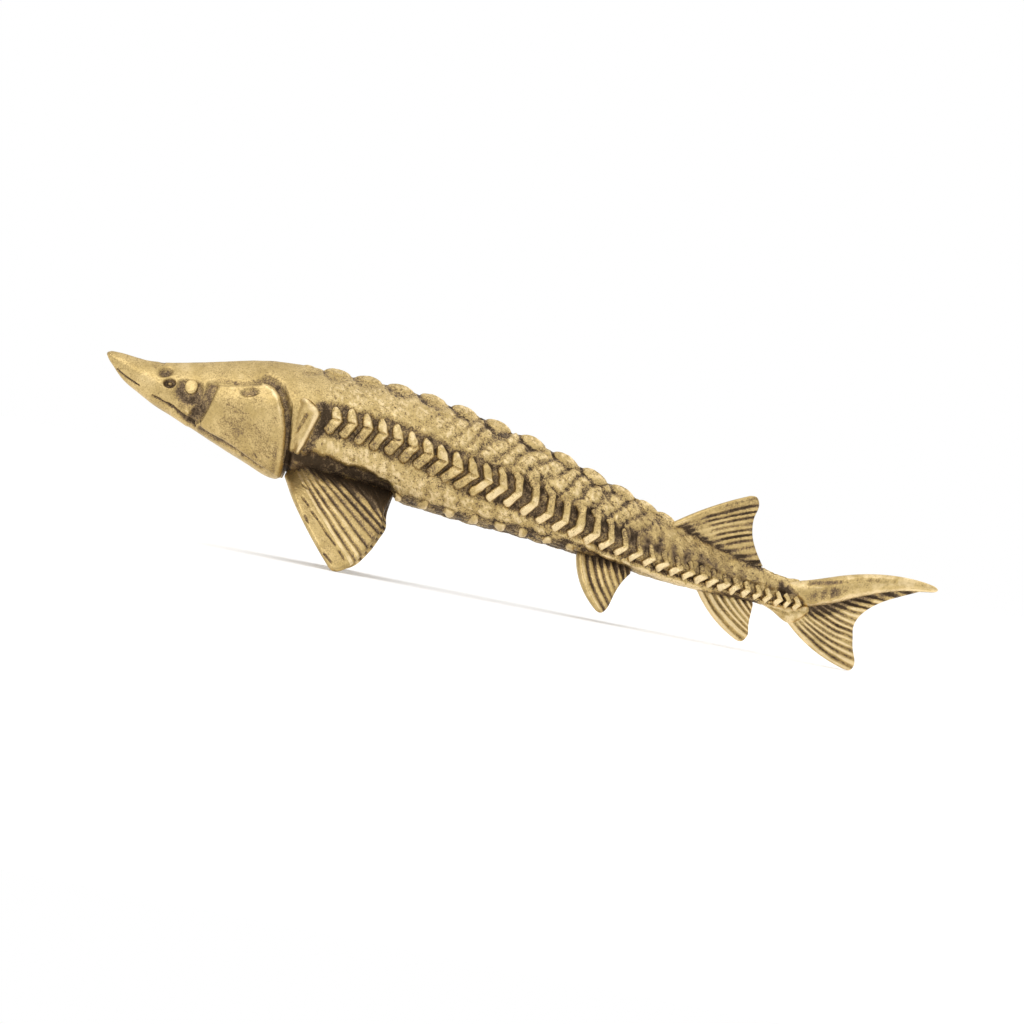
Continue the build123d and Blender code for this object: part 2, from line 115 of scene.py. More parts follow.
def outward(points):
    """Unit normals of a grid whose second way round is closed, from the cross product of its two
    tangents."""
    along = np.gradient(points, axis=0)
    around = np.roll(points, -1, axis=1) - np.roll(points, 1, axis=1)
    normal = np.cross(around, along)
    return normal / np.maximum(np.linalg.norm(normal, axis=2, keepdims=True), 1e-9)


def ease(low, high, value):
    """Smooth step from 0 at low to 1 at high."""
    t = np.clip((value - low) / (high - low), 0, 1)
    return t * t * (3 - 2 * t)


LATTICE = 64


def ripple(x, y, cell, seed):
    """Smooth random field between -1 and 1: values at lattice corners, eased between them."""
    table = np.random.default_rng(seed).uniform(-1, 1, (LATTICE, LATTICE))
    u, v = x / cell, y / cell
    i, j = np.floor(u).astype(int), np.floor(v).astype(int)
    s, t = ease(0, 1, u - i), ease(0, 1, v - j)

    def corner(a, b):
        return table[(i + a) % LATTICE, (j + b) % LATTICE]

    near = corner(0, 0) * (1 - s) + corner(1, 0) * s
    far = corner(0, 1) * (1 - s) + corner(1, 1) * s
    return near * (1 - t) + far * t


def cobbles(x, y, seed):
    """Lump pattern: distance to the nearest of scattered seeds, one in each unit square. It is 0 on top of a
    lump and about 0.6 in the hollows between."""
    jitter = np.random.default_rng(seed).uniform(0.32, 0.68, (LATTICE, LATTICE, 2))
    i, j = np.floor(x).astype(int), np.floor(y).astype(int)
    nearest = np.full(np.shape(x), 9.0)
    for a in (-1, 0, 1):
        for b in (-1, 0, 1):
            seed_at = jitter[(i + a) % LATTICE, (j + b) % LATTICE]
            away = np.hypot(i + a + seed_at[..., 0] - x, j + b + seed_at[..., 1] - y)
            nearest = np.minimum(nearest, away)
    return nearest


def stroke(x, z, path):
    """Distance from points of the side view to a line through the points of a path."""
    path = np.array(path, float)
    nearest = np.full(np.shape(x), 1e9)
    for (x0, z0), (x1, z1) in zip(path[:-1], path[1:]):
        dx, dz = x1 - x0, z1 - z0
        t = np.clip(((x - x0) * dx + (z - z0) * dz) / (dx * dx + dz * dz), 0, 1)
        nearest = np.minimum(nearest, np.hypot(x - x0 - t * dx, z - z0 - t * dz))
    return nearest


def spot(x, z, at, size, turn=0.0):
    """Distance from the middle of an oval, as a share of its radius. turn is in degrees."""
    c, s = np.cos(np.radians(turn)), np.sin(np.radians(turn))
    dx, dz = x - at[0], z - at[1]
    return np.hypot((dx * c + dz * s) / size[0], (dz * c - dx * s) / size[1])


MILLIMETRE = 0.001


def cast(name, node, points, recess, finish, mottle=1.0):
    """Brass piece from one grid of points in millimetres, or from a stack of them. The second way round a
    grid is closed, and its ends are drawn together to a point or an edge. recess is 1 where patina gathers
    and where shade is painted, 0 where handling keeps the metal bright and where highlights are painted, and
    mottle is how much the patina is broken up."""
    rows, columns = points.shape[-3:-1]
    number = np.arange(points.size // 3).reshape(-1, rows, columns)
    lower, upper = number[:, :-1], number[:, 1:]
    quads = np.stack([lower, np.roll(lower, -1, 2), np.roll(upper, -1, 2), upper], axis=3).reshape(-1, 4)
    mesh = bpy.data.meshes.new(name)
    mesh.vertices.add(number.size)
    mesh.vertices.foreach_set("co", (points * MILLIMETRE).ravel())
    mesh.loops.add(quads.size)
    mesh.loops.foreach_set("vertex_index", quads.ravel())
    mesh.polygons.add(len(quads))
    mesh.polygons.foreach_set("loop_start", np.arange(0, quads.size, 4))
    wear = {"recess": np.clip(recess, 0, 1), "mottle": np.broadcast_to(mottle, recess.shape)}
    for label, values in wear.items():
        mesh.attributes.new(label, "FLOAT", "POINT").data.foreach_set("value", values.ravel())
    mesh.update(calc_edges=True)
    work = bmesh.new()
    work.from_mesh(mesh)
    bmesh.ops.remove_doubles(work, verts=work.verts, dist=2e-7)
    bmesh.ops.dissolve_degenerate(work, edges=work.edges, dist=1e-8)
    bmesh.ops.recalc_face_normals(work, faces=work.faces)
    work.to_mesh(mesh)
    work.free()
    mesh.polygons.foreach_set("use_smooth", np.ones(len(mesh.polygons), bool))
    mesh.materials.append(finish)
    piece = bpy.data.objects.new(name, mesh)
    bpy.context.scene.collection.objects.link(piece)
    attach(piece, "root")
    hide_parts(node)


def cast_pair(name, node, points, recess, finish, mottle=1.0):
    """A piece on the left flank and its mirror image on the right. Scutes are part of the trunk's node, and
    any other pair has a left and a right node."""
    for side, placed in (("left_", points), ("right_", points * np.array([1, -1, 1]))):
        cast(side + name, node if node == "trunk" else side + node, placed, recess, finish, mottle)


def close_ends(points, *values):
    """Rings drawn together to a middle point at both ends, and their values carried on to the ends."""
    first, last = [np.broadcast_to(points[i].mean(axis=0), points[:1].shape) for i in (0, -1)]
    carried = [np.concatenate([value[:1], value, value[-1:]]) for value in values]
    return [np.concatenate([first, points, last])] + carried


def feed(tree, node, inputs):
    """Gives inputs of a node, by name or number, a plain value or the output of another node."""
    for socket, source in inputs.items():
        if isinstance(source, bpy.types.NodeSocket):
            tree.links.new(source, node.inputs[socket])
        else:
            node.inputs[socket].default_value = source


def shader_node(tree, kind, inputs, **settings):
    """New shader node with its settings made and its inputs fed."""
    node = tree.nodes.new("ShaderNode" + kind)
    for label, setting in settings.items():
        setattr(node, label, setting)
    feed(tree, node, inputs)
    return node


def node_group(name, inputs, outputs):
    """Empty shader node group with named sockets, the outputs of its input node and its output node."""
    group = bpy.data.node_groups.new(name, "ShaderNodeTree")
    for label, kind in inputs.items():
        group.interface.new_socket(label, in_out="INPUT", socket_type="NodeSocket" + kind)
    for label in outputs:
        group.interface.new_socket(label, in_out="OUTPUT", socket_type="NodeSocketFloat")
    return group, group.nodes.new("NodeGroupInput").outputs, group.nodes.new("NodeGroupOutput")


def patina_and_shade_group():
    """Dark film of patina and painted shade in the recesses: the recess value, broken up by three sizes of
    blotch, eased from bare metal to full film."""
    group, given, result = node_group(
        "patina film", {"Position": "Vector", "Recess": "Float", "Speckle": "Float"}, ["Film"])
    total = 0.0
    for scale, weight in ((700.0, 0.5), (2600.0, 0.8), (6500.0, 1.7)):
        blotch = shader_node(group, "TexNoise", {"Vector": given["Position"], "Scale": scale, "Detail": 2.0})
        shift = shader_node(group, "Math", {0: blotch.outputs["Fac"], 1: weight, 2: -weight / 2},
                            operation="MULTIPLY_ADD")
        total = shader_node(group, "Math", {0: total, 1: shift.outputs[0]}).outputs[0]
    both = shader_node(group, "Math", {0: total, 1: given["Speckle"], 2: given["Recess"]},
                       operation="MULTIPLY_ADD")
    film = shader_node(group, "MapRange", {"Value": both.outputs[0]}, interpolation_type="SMOOTHSTEP")
    feed(group, result, {"Film": film.outputs["Result"]})
    return group


def grain_group():
    """Skin of an investment casting: fine grain and scattered pin pits as a height, and a tone for the
    slight unevenness of its colour."""
    group, given, result = node_group(
        "casting grain", {"Position": "Vector", "Fineness": "Float"}, ["Height", "Tone"])
    fine = {"Vector": given["Position"], "Scale": given["Fineness"]}
    grain = shader_node(group, "TexNoise", {**fine, "Detail": 4.0})
    pits = shader_node(group, "TexVoronoi", fine)
    dip = shader_node(group, "MapRange",
                      {"Value": pits.outputs["Distance"], "From Min": 0.05, "From Max": 0.4})
    blend = shader_node(group, "Math", {0: dip.outputs["Result"], 1: 0.35, 2: grain.outputs["Fac"]},
                        operation="MULTIPLY_ADD")
    cloud = shader_node(group, "TexNoise", {"Vector": given["Position"], "Scale": 420.0, "Detail": 6.0,
                                            "Roughness": 0.7})
    feed(group, result, {"Height": blend.outputs[0], "Tone": cloud.outputs["Fac"]})
    return group


PATINA_AND_SHADE, GRAIN = patina_and_shade_group(), grain_group()
# brass colours: the palest stands for rubbed metal and painted highlights, the browns for patina and painted
# shade
RUBBED_AND_HIGHLIGHT_BRASS = (0.91, 0.72, 0.415, 1)
BRIGHT_BRASS = (0.7, 0.526, 0.243, 1)
OLIVE_BRASS = (0.545, 0.397, 0.16, 1)
BROWN_BRASS = (0.41, 0.29, 0.122, 1)
PATINA_AND_SHADE_BROWN = (0.2, 0.138, 0.082, 1)
DEEP_BROWN = (0.072, 0.048, 0.027, 1)


def aged_brass(name, fineness, bump, speckle, polish):
    """Cast brass, handled bright on what stands out, where highlights are painted as well, and darkened by
    patina and painted shade where the recess value is high. fineness is the grain's scale, bump its height in
    metres, speckle how much the patina breaks up, polish the roughness of the bright metal."""
    finish = bpy.data.materials.new(name)
    finish.use_nodes = True
    tree = finish.node_tree
    place = shader_node(tree, "TexCoord", {}).outputs["Object"]
    recess = shader_node(tree, "Attribute", {}, attribute_name="recess").outputs["Fac"]
    broken = shader_node(tree, "Attribute", {}, attribute_name="mottle").outputs["Fac"]
    amount = shader_node(tree, "Math", {0: broken, 1: speckle}, operation="MULTIPLY").outputs[0]
    patina = shader_node(tree, "Group", {}, node_tree=PATINA_AND_SHADE)
    feed(tree, patina, {"Position": place, "Recess": recess, "Speckle": amount})
    film = patina.outputs["Film"]
    skin = shader_node(tree, "Group", {}, node_tree=GRAIN)
    feed(tree, skin, {"Position": place, "Fineness": fineness})
    # bare metal, from olive to bright, and paler where it is rubbed most, as wear and as painted highlight
    spread = shader_node(tree, "MapRange", {"Value": skin.outputs["Tone"], "From Min": 0.38, "From Max": 0.6})
    metal = shader_node(tree, "Mix", {}, data_type="RGBA")
    feed(tree, metal, {"Factor": spread.outputs["Result"], "A": OLIVE_BRASS, "B": BRIGHT_BRASS})
    rubbed_and_highlight = shader_node(tree, "MapRange", {"Value": recess, "From Max": 0.12, "To Min": 0.85, "To Max": 0.0})
    lightened = shader_node(tree, "Mix", {}, data_type="RGBA")
    feed(tree, lightened, {"Factor": rubbed_and_highlight.outputs["Result"], "A": metal.outputs["Result"], "B": RUBBED_AND_HIGHLIGHT_BRASS})
    # patina and painted shade over it, browner as the film thickens
    layers = shader_node(tree, "ValToRGB", {"Fac": film})
    thin, thick = layers.color_ramp.elements
    thin.position, thin.color = 0.35, BROWN_BRASS
    thick.position, thick.color = 1.0, DEEP_BROWN
    layers.color_ramp.elements.new(0.76).color = PATINA_AND_SHADE_BROWN
    covered = shader_node(tree, "MapRange", {"Value": film, "From Max": 0.4})
    colour = shader_node(tree, "Mix", {}, data_type="RGBA")
    feed(tree, colour, {"Factor": covered.outputs["Result"], "A": lightened.outputs["Result"],
                        "B": layers.outputs["Color"]})
    rough = shader_node(tree, "MapRange", {"Value": film, "To Min": polish, "To Max": 0.6})
    metallic = shader_node(tree, "MapRange", {"Value": film, "To Min": 1.0, "To Max": 0.85})
    relief = shader_node(tree, "Bump", {"Strength": 1.0, "Distance": bump, "Height": skin.outputs["Height"]})
    feed(tree, tree.nodes["Principled BSDF"], {
        "Base Color": colour.outputs["Result"], "Roughness": rough.outputs["Result"],
        "Metallic": metallic.outputs["Result"], "Normal": relief.outputs["Normal"]})
    return finish


skin_brass = aged_brass("grainy cast brass", 4800.0, 0.0001, 1.0, 0.4)
smooth_brass = aged_brass("hand-smoothed brass", 2800.0, 0.00006, 0.65, 0.45)

GILL_SLIT = [(-36.6, 18.75), (-34.3, 19.0), (-32.2, 19.45), (-30.8, 19.95), (-29.7, 19.65), (-28.8, 18.75),
             (-28.1, 17.4), (-27.55, 15.6), (-27.2, 13.5), (-27.0, 11.0), (-27.0, 9.2)]
SHOULDER_SHADE = [(-24.8, 13.0), (-24.15, 15.0), (-23.65, 16.6), (-23.5, 17.35), (-24.2, 18.2)]
SCALE_SLANT = np.radians(63)
SCALE_ROW, SCALE_LENGTH = 1.7, 2.6
CHANNEL_DEPTH, ARMPIT_DEPTH, GILL_DEPTH = 0.4, 0.7, 0.5
armpit_roof = curve([(-27.2, 12.5), (-25, 12.75), (-22, 12.75), (-19.5, 12.2), (-17.5, 11.9), (-14.5, 10.8),
                     (-12.5, 9.6), (34, 9.6)])
up_arm = curve([(-24, 1.5), (-16, 1.7), (-6, 2.0), (0, 2.3), (6, 2.6), (12, 2.3), (18, 1.7), (26, 1.2),
                (35, 1.0)])
down_arm = curve([(-24, 1.6), (-16, 2.0), (-10, 1.8), (-5, 1.95), (0, 1.7), (5, 1.3), (12, 1.1), (20, 0.85),
                  (35, 0.65)])
dorsal_places = np.array([-26.6, -23.25, -19.6, -15.7, -11.8, -7.9, -3.8, 0.6, 4.7, 8.3, 11.9, 15.1, 17.4])


def scales(x, q, rise, side):
    """Mounds and furrows of the skin, both from 0 to 1. Over the lateral row they are rows of long scales
    that slant up to the tail, each row cut into lengths from its own start. Under it they are round lumps. q
    is the way round the section from the back."""
    ragged = ripple(x, q, 0.5, 22)
    across = (x * np.sin(SCALE_SLANT) + q * np.cos(SCALE_SLANT)) / SCALE_ROW + 0.3 * ripple(x, q, 2.4, 91)
    start = np.random.default_rng(3).uniform(0, 1, LATTICE)[np.floor(across).astype(int) % LATTICE]
    along = (x * np.cos(SCALE_SLANT) - q * np.sin(SCALE_SLANT)) / SCALE_LENGTH
    along = along + start + 0.3 * side + 0.2 * ripple(x, q, 1.8, 92)
    off_row, off_scale = np.abs(2 * (across % 1) - 1), np.abs(2 * (along % 1) - 1)
    lump = cobbles(x / 2.1 + 5 * side, q / 1.5, 4)
    dome = np.clip(1 - (lump / 0.62) ** 2, 0, 1)
    mound = np.where(rise > 0, (1 - off_row**2.4) * (1 - off_scale**5), dome)
    between = ease(0.72, 1.0, off_scale + 0.2 * ragged)
    furrow = np.maximum(ease(0.46, 0.96, off_row + 0.3 * ragged), 0.7 * between)
    return mound, np.where(rise > 0, furrow, ease(0.35, 0.55, lump + 0.12 * ragged + 0.03))


def trunk_skin():
    """Body loops pushed out or in along their normals by the scales, the scute channel, the hollow above the
    pectoral fin and the grooves. height is in millimetres, and hollow is the patina that gathers, together
    with painted shade in the hollows, channels and creases and a few painted highlights."""
    stations = np.concatenate([[TRUNK_FRONT], np.linspace(TRUNK_FRONT + 0.01, TRUNK_END, 600)])
    points = body_loop(stations, 46, 34)
    x, y, z = points[..., 0], points[..., 1], points[..., 2]
    steps = np.linalg.norm(np.diff(points, axis=1, append=points[:, :1]), axis=2)
    girth = np.cumsum(steps, axis=1)
    side = np.sign(y + 1e-6)
    q = np.where(side < 0, girth, girth[:, -1:] - girth)
    rise, fall, over_belly = z - row(x), back(x) - z, z - belly(x)
    share = rise / (back(x) - row(x))
    # scales and lumps, fading out at the shoulder, at the tail and along the lateral row
    mound, valley = scales(x, q, rise, side)
    fade = ease(-18, -3, x) * (1 - 0.7 * ease(12, 19, x)) * ease(0.5, 1.4, np.abs(rise))
    fade *= np.where(rise > 0, 1.0, 0.7)
    height = (0.28 * mound - 0.16) * fade
    dark = 0.43 + 0.2 * ease(0, 8, x) * (1 - ease(10, 15, x))
    hollow = (dark * valley - 0.03 * ease(0.5, 0.9, mound)) * fade
    hollow += 0.19 - 0.09 * ease(TRUNK_FRONT, -20, x) - 0.03 * (rise < 0)
    # speckle of casting pits and grains
    grit = 0.7 * ripple(x + 40, q * side + 40, 0.42, 11) + ripple(x, q * side, 0.25, 12)
    grit = grit * (0.3 + 0.7 * ease(TRUNK_FRONT, -22, x))
    height -= 0.035 * grit
    hollow += 0.1 * grit + 0.3 * ease(0.75, 1.25, grit)
    # cut gaps that set off the arrowhead scutes of the lateral row, darkened as patina and painted shade, and
    # less dark towards the tail
    reach_down = -rise / (down_arm(x) * (1.2 - 0.16 * ease(-6, 2, x)))
    reach = np.where(rise > 0, rise / up_arm(x), reach_down)
    uneven = 0.2 * ripple(x, q, 1.1, 23) + 0.14 * ripple(x, q, 0.5, 30)
    taller = 1 - 0.14 * (rise > 0) * (1 - ease(-12, -6, x))
    channel = (1 - ease(0.8, 1.25, (reach + uneven) * taller)) * ease(-24.4, -23.2, x)
    height -= CHANNEL_DEPTH * channel
    lightened = 0.34 * ease(13, 19, x) * ease(0.2, 0.8, rise) + 0.16 * ease(11, 16, x)
    hollow += channel * (0.6 + 0.5 * uneven - lightened)
    # mottled brown flank behind the middle
    brown = ease(9, 17, x) * ease(0.3, 1.0, rise) * (1 - ease(0.72, 0.95, share))
    ribs = 0.5 + 0.5 * np.cos(2 * np.pi * (x + 0.25 * rise) / 1.65 + 1.0)
    hollow += brown * (0.12 + 0.12 * ripple(x, q, 1.3, 21) + 0.32 * ribs * (1 - ease(0.45, 0.7, share)))
    height -= 0.08 * brown * ribs
    # hollow above the pectoral fin, painted dark as shade, with lighter flecks as painted highlights
    under_roof = armpit_roof(x) - z + 0.35 * ripple(x, q, 1.0, 24)
    armpit = ease(-0.25, 0.6, under_roof) * (1 - ease(-14.8, -12.8, x))
    height -= ARMPIT_DEPTH * armpit
    rubbed_and_highlight = ease(0.3, 0.8, ripple(x / 1.6, q, 0.6, 79))
    hollow += armpit * (0.8 + 0.3 * ripple(x, q, 0.6, 25) - 0.5 * rubbed_and_highlight)
    # groove at the gill edge, darkened as patina and painted shade
    from_slit = stroke(x, z, GILL_SLIT) + 0.15 * ripple(x, z, 0.8, 38)
    gill = 1 - ease(0.1, 0.55 + 0.4 * ease(13.5, 17, z), from_slit)
    height -= GILL_DEPTH * gill
    hollow += 0.46 * gill
    # painted shade along the edge behind the shoulder plate
    behind = stroke(x, z, SHOULDER_SHADE) + 0.15 * ripple(x, q, 0.6, 29)
    hollow += 0.55 * (1 - ease(0.3, 0.85, behind))
    # painted shadow crescents below the dorsal shields
    from_shield = x[..., None] - dorsal_places
    nearest = np.abs(from_shield).argmin(axis=2)[..., None]
    gap = np.take_along_axis(from_shield, nearest, axis=2)[..., 0]
    crescent = np.exp(-((fall - 0.85 + 0.25 * gap**2) / 0.34) ** 2) * (np.abs(y) < 3.4) * (np.abs(gap) < 2.1)
    height -= 0.14 * crescent
    hollow += (0.48 - 0.16 * gap) * crescent * (0.6 + 0.4 * ease(-20, -14, x)) * (1 - 0.4 * ease(9, 13, x))
    # painted shade in a strip along the belly edge, and the keel behind the pelvic fins, lighter on its
    # ridge, with a line of painted shade above it and painted shadow at the roots of the pelvic fins
    edge = ease(0.0, 0.5, 1.45 - over_belly + 0.2 * ripple(x, q, 0.6, 26)) * ease(-14.5, -12.5, x)
    hollow += edge * (0.48 - 0.3 * ease(10, 16, x))
    over_keel = over_belly + 0.055 * (x - 10)
    keel = np.exp(-((over_keel - 0.95) / 0.26) ** 2) * ease(8.5, 11, x) * (1 - ease(23, 26, x))
    height += 0.22 * keel
    hollow -= 0.6 * keel
    hollow += 0.35 * np.exp(-((over_keel - 1.5) / 0.24) ** 2) * ease(11, 13, x) * (1 - ease(22, 25, x))
    hollow += 0.9 * ease(0, 0.25, 0.55 - over_belly) * ease(9.0, 10.2, x) * (1 - ease(13.8, 15.2, x))
    # seams where the dorsal and anal fins and the tail lobe are set in
    seam = np.exp(-((fall - 0.25) / 0.32) ** 2) * ease(19.0, 20.2, x) * (1 - ease(29.2, 30, x))
    seam += np.exp(-((over_belly / 0.4) ** 2)) * ease(22, 23, x) * (1 - ease(29, 29.8, x))
    stalk = ease(31.2, 32.2, x) * ease(-0.8, -0.5, rise)
    hollow += 0.75 * seam + 0.6 * stalk * (1 - ease(0.55, 0.8, share + 0.2 * ripple(x, q, 0.5, 27)))
    height *= ease(0, 0.6, x - TRUNK_FRONT + 0.6 * gill)
    mottle = 1.15 - 0.55 * brown - 0.4 * np.maximum(channel, armpit)
    mottle = mottle * (0.56 + 0.44 * ease(TRUNK_FRONT, -21, x))
    points, hollow, mottle = close_ends(points + outward(points) * height[..., None], hollow, mottle)
    cast("trunk_skin", "trunk", points, hollow, skin_brass, mottle)


trunk_skin()


# Lateral scutes: a row of arrowhead shields along each flank, cast in one with the trunk. Each has an upper
# arm like a leaf and a lower arm like a blunt bar, and points to the tail. Towards the tail the upper
# arm thins to a rib and the lower arm is a small bright tile.
def skin_points(x, z, lift):
    """Points on the left flank at side-view places, lifted along the normal of the surface
    y = -flank(x, z)."""
    d = 0.05
    slope_x = (flank(x + d, z) - flank(x - d, z)) / (2 * d)
    slope_z = (flank(x, z + d) - flank(x, z - d)) / (2 * d)
    slope_z = np.clip(slope_z, -3, 3)
    normal = np.stack([-slope_x, -np.ones_like(slope_x), -slope_z], axis=-1)
    normal /= np.linalg.norm(normal, axis=-1, keepdims=True)
    return np.stack([x, -flank(x, z), z], axis=-1) + normal * np.asarray(lift)[..., None]


SCUTES = 35
scute_place = curve([(0, -22.05), (6, -10.9), (12, 0.1), (18, 11.6), (24, 21.5), (30, 29.6), (34, 34.4)])
up_lean = curve([(-24, 0.55), (-12, 0.75), (-4, 0.8), (2, 0.7), (6, 0.6), (12, 0.6), (20, 0.6), (35, 0.6)])
down_lean = curve([(-24, 0.9), (-16, 1.2), (-10, 1.5), (-5, 1.9), (0, 1.5), (5, 1.3), (12, 1.3), (20, 1.2),
                   (35, 0.9)])
# places along a scute as shares of its length: where the round tip ends, the knee and the apex
TIP, KNEE, APEX = 0.1, 0.25, 0.55


def lateral_scutes():
    """Each scute is a bar along four points of the side view: upper tip, knee, apex and lower tip. Its edges
    are the straight lines through those points moved to both sides by the half width, mitred at the bends.
    Across, it rises from the front edge to a crest near the rear one. All scutes are rows of one array."""
    x0 = scute_place(np.arange(SCUTES, dtype=float))[:, None, None]
    vary = np.random.default_rng(8).uniform(-1, 1, (5, SCUTES, 1, 1))
    round_off = TIP * np.array([0, 0.1, 0.3, 0.6])
    a = np.concatenate([round_off, np.linspace(TIP, KNEE, 7)[:-1], np.linspace(KNEE, APEX, 11)[:-1],
                        np.linspace(APEX, 1 - TIP, 12), 1 - round_off[::-1]])[None, :, None]
    b = np.linspace(-1, 1, 17)[None, None, :]
    front, rear, last = 1 - ease(-8, 0, x0), ease(8, 15, x0), ease(26, 30, x0)
    roof = ease(-4, 2, x0) * (1 - ease(9, 15, x0))
    up, down = up_arm(x0) * (1 + 0.07 * vary[0]), down_arm(x0) * (1 + 0.07 * vary[1])
    knee_x = (0.12 * front - 0.5) * up_lean(x0) + roof * (0.5 * up_lean(x0) - 0.12)
    knee = np.stack([knee_x, up * (0.5 - 0.12 * front + 0.34 * roof)], axis=-1)
    tip = np.stack([-up_lean(x0) * (1 - roof) - 1.05 * roof, up + 0.3 * roof - 0.2 * last], axis=-1)
    foot = np.stack([-down_lean(x0) * (1 + 0.08 * vary[2]) + 0.35 * last, -down], axis=-1)
    spine = np.stack([tip, knee, 0 * tip, foot])
    runs = np.diff(spine, axis=0)
    runs /= np.linalg.norm(runs, axis=-1, keepdims=True)
    sides = np.stack([-runs[..., 1], runs[..., 0]], axis=-1)
    mitre = (sides[:-1] + sides[1:]) / (1 + (sides[:-1] * sides[1:]).sum(axis=-1, keepdims=True))
    sides = np.concatenate([sides[:1], mitre, sides[-1:]])
    wide = np.stack([0.34 - 0.06 * front - 0.03 * rear, 0.52 + 0.2 * front - 0.16 * rear,
                     0.57 + 0.11 * front - 0.16 * rear - 0.03 * last,
                     0.61 + 0.1 * front - 0.16 * rear - 0.08 * last])
    share = np.stack([np.interp(a, [0, KNEE, APEX, 1], np.eye(4)[k]) for k in range(4)])
    ends = np.clip(a / TIP, 0, 1) * np.clip((1 - a) / TIP, 0, 1)
    rounding = np.sqrt(1 - (1 - ends) ** 2)
    middle = (share[..., None] * spine).sum(axis=0)
    cross = (share[..., None] * sides * wide[..., None]).sum(axis=0) * rounding[..., None]
    cross = cross * (1 + 0.06 * vary[4][..., None])
    x = x0 + middle[..., 0] + 0.08 * vary[2] + cross[..., 0] * b
    z = row(x0) + middle[..., 1] + cross[..., 1] * b
    x, z = x + 0.07 * ripple(x, z, 0.6, 74) * rounding, z + 0.07 * ripple(x, z, 0.6, 75) * rounding
    top, low = np.clip(1 - a / APEX, 0, 1), np.clip((a - APEX) / (1 - APEX), 0, 1)
    crest = np.clip((1 - np.abs(b)) / 0.36, 0, 1) ** 0.55 * (0.7 + 0.3 * np.clip((b + 1) / 1.4, 0, 1))
    ebb = rear * (1 - last)
    tall = 0.37 - 0.47 * ebb * ease(0.05, 0.45, top) - 0.14 * roof * ease(0.55, 1.0, top)
    tall = tall + 0.05 * vary[3] + 0.12 * ease(0.0, 0.5, low) * rear
    crease = np.exp(-(((a - APEX) / 0.04) ** 2)) * front * (1 - ease(0.2, 0.8, b))
    lift = -0.5 + (tall + 0.45) * crest * rounding**0.6 - 0.2 * crease
    lift = lift + 0.05 * ripple(x, z, 0.4, 71) * rounding
    upper = skin_points(x, z, lift)
    under = skin_points(x, z, np.full_like(lift, -0.8))
    ring = np.concatenate([upper, under[:, :, -2:0:-1]], axis=2)
    # painted shade on the bevelled sides, along the front edge and in the crease at the apex, and darker
    # lower arms in front, lighter ones behind and darker ribs behind
    scute_shade_and_tone = 0.06 + 0.5 * (1 - ease(0.25, 0.6, crest * rounding)) + 0.1 * (1 - ease(-0.9, 0.1, b))
    scute_shade_and_tone = scute_shade_and_tone + 0.35 * crease + 0.3 * front * ease(0.1, 0.6, low) - 0.13 * (1 - front) * ease(0.0, 0.3, low)
    scute_shade_and_tone = scute_shade_and_tone + 0.34 * ebb * ease(0.0, 0.4, top) + 0.16 * roof * ease(0.1, 0.5, top)
    scute_shade_and_tone = scute_shade_and_tone + 0.06 * (1 - front) * ease(0.1, 0.5, top) + 0.1 * ripple(x, z, 0.4, 72)
    return ring, np.concatenate([scute_shade_and_tone, np.ones_like(x[:, :, -2:0:-1])], axis=2)


scute_rings, scute_recess = lateral_scutes()
cast_pair("lateral_scutes", "trunk", scute_rings, scute_recess, skin_brass, 0.9)


# Dorsal scutes: keeled shields that ride on the ridge of the back like saddles, cast in one with the trunk.
# They are rubbed bright, with painted shade on the front of each skirt and a crescent of painted shadow under
# it.
def back_height(x, y):
    """Height of the skin at half width y near the ridge: the flank formula solved for z."""
    share = np.clip(np.abs(y) / half_width(x), 0, 1)
    return row(x) + (back(x) - row(x)) * (1 - share ** (1 / UPPER_ROUND)) ** (1 / UPPER_POWER)


SHIELD_RIM = 0.72


def dorsal_scutes():
    """Each shield is an almond-shaped plate with a steep rim. A keel arches along it as 1 - u squared, where
    u is the share of its half length, and falls off to both sides as exp(-y / 0.5)."""
    x0 = dorsal_places[:, None, None]
    small = 1 - 0.25 * ease(8, 18, x0) - 0.45 * (1 - ease(-26, -23.5, x0))
    skirt = SHIELD_RIM + (1 - SHIELD_RIM) * np.sin(np.linspace(0, np.pi / 2, 8))[1:]
    radius = np.concatenate([np.linspace(0, SHIELD_RIM, 12), skirt])[None, :, None]
    angle = np.linspace(0, 2 * np.pi, 48, endpoint=False)[None, None, :]
    u = radius * np.cos(angle) + 0 * x0
    x = x0 + 1.65 * small * u
    y = (1.0 + 0.2 * ease(-16, -8, x0)) * small * radius * np.sin(angle) * np.abs(np.sin(angle)) ** 0.5
    rim = np.sqrt(1 - np.clip((radius - SHIELD_RIM) / (1 - SHIELD_RIM), 0, 1) ** 2)
    keel = np.exp(-np.abs(y) / 0.5) * (1 - u**2)
    foot = back_height(x, y) - 0.2
    arch = (0.36 - 0.16 * u**2) * small * rim + (0.28 + 0.08 * ease(-14, -6, x0)) * small * keel
    top = np.stack([x, y, foot + arch + 0.03 * ripple(x, y, 0.5, 76) * rim], axis=-1)
    under = np.stack([x, y, foot - 0.5 * rim], axis=-1)
    # painted shade on the front of the skirt, and the keel lighter as wear and painted highlight
    front_skirt = ease(0.75, 1.0, radius) * (1 - ease(-0.6, 0.8, np.cos(angle)))
    recess = 0.18 - 0.12 * keel + 0.22 * front_skirt + 0.14 * ripple(x, y, 0.35, 28)
    caps = np.concatenate([top, under[:, -2::-1]], axis=1)
    return caps, np.concatenate([recess, np.ones_like(recess[:, -2::-1])], axis=1)


shields, shield_recess = dorsal_scutes()
cast("dorsal_scutes", "trunk", shields, shield_recess, skin_brass, 1.2)


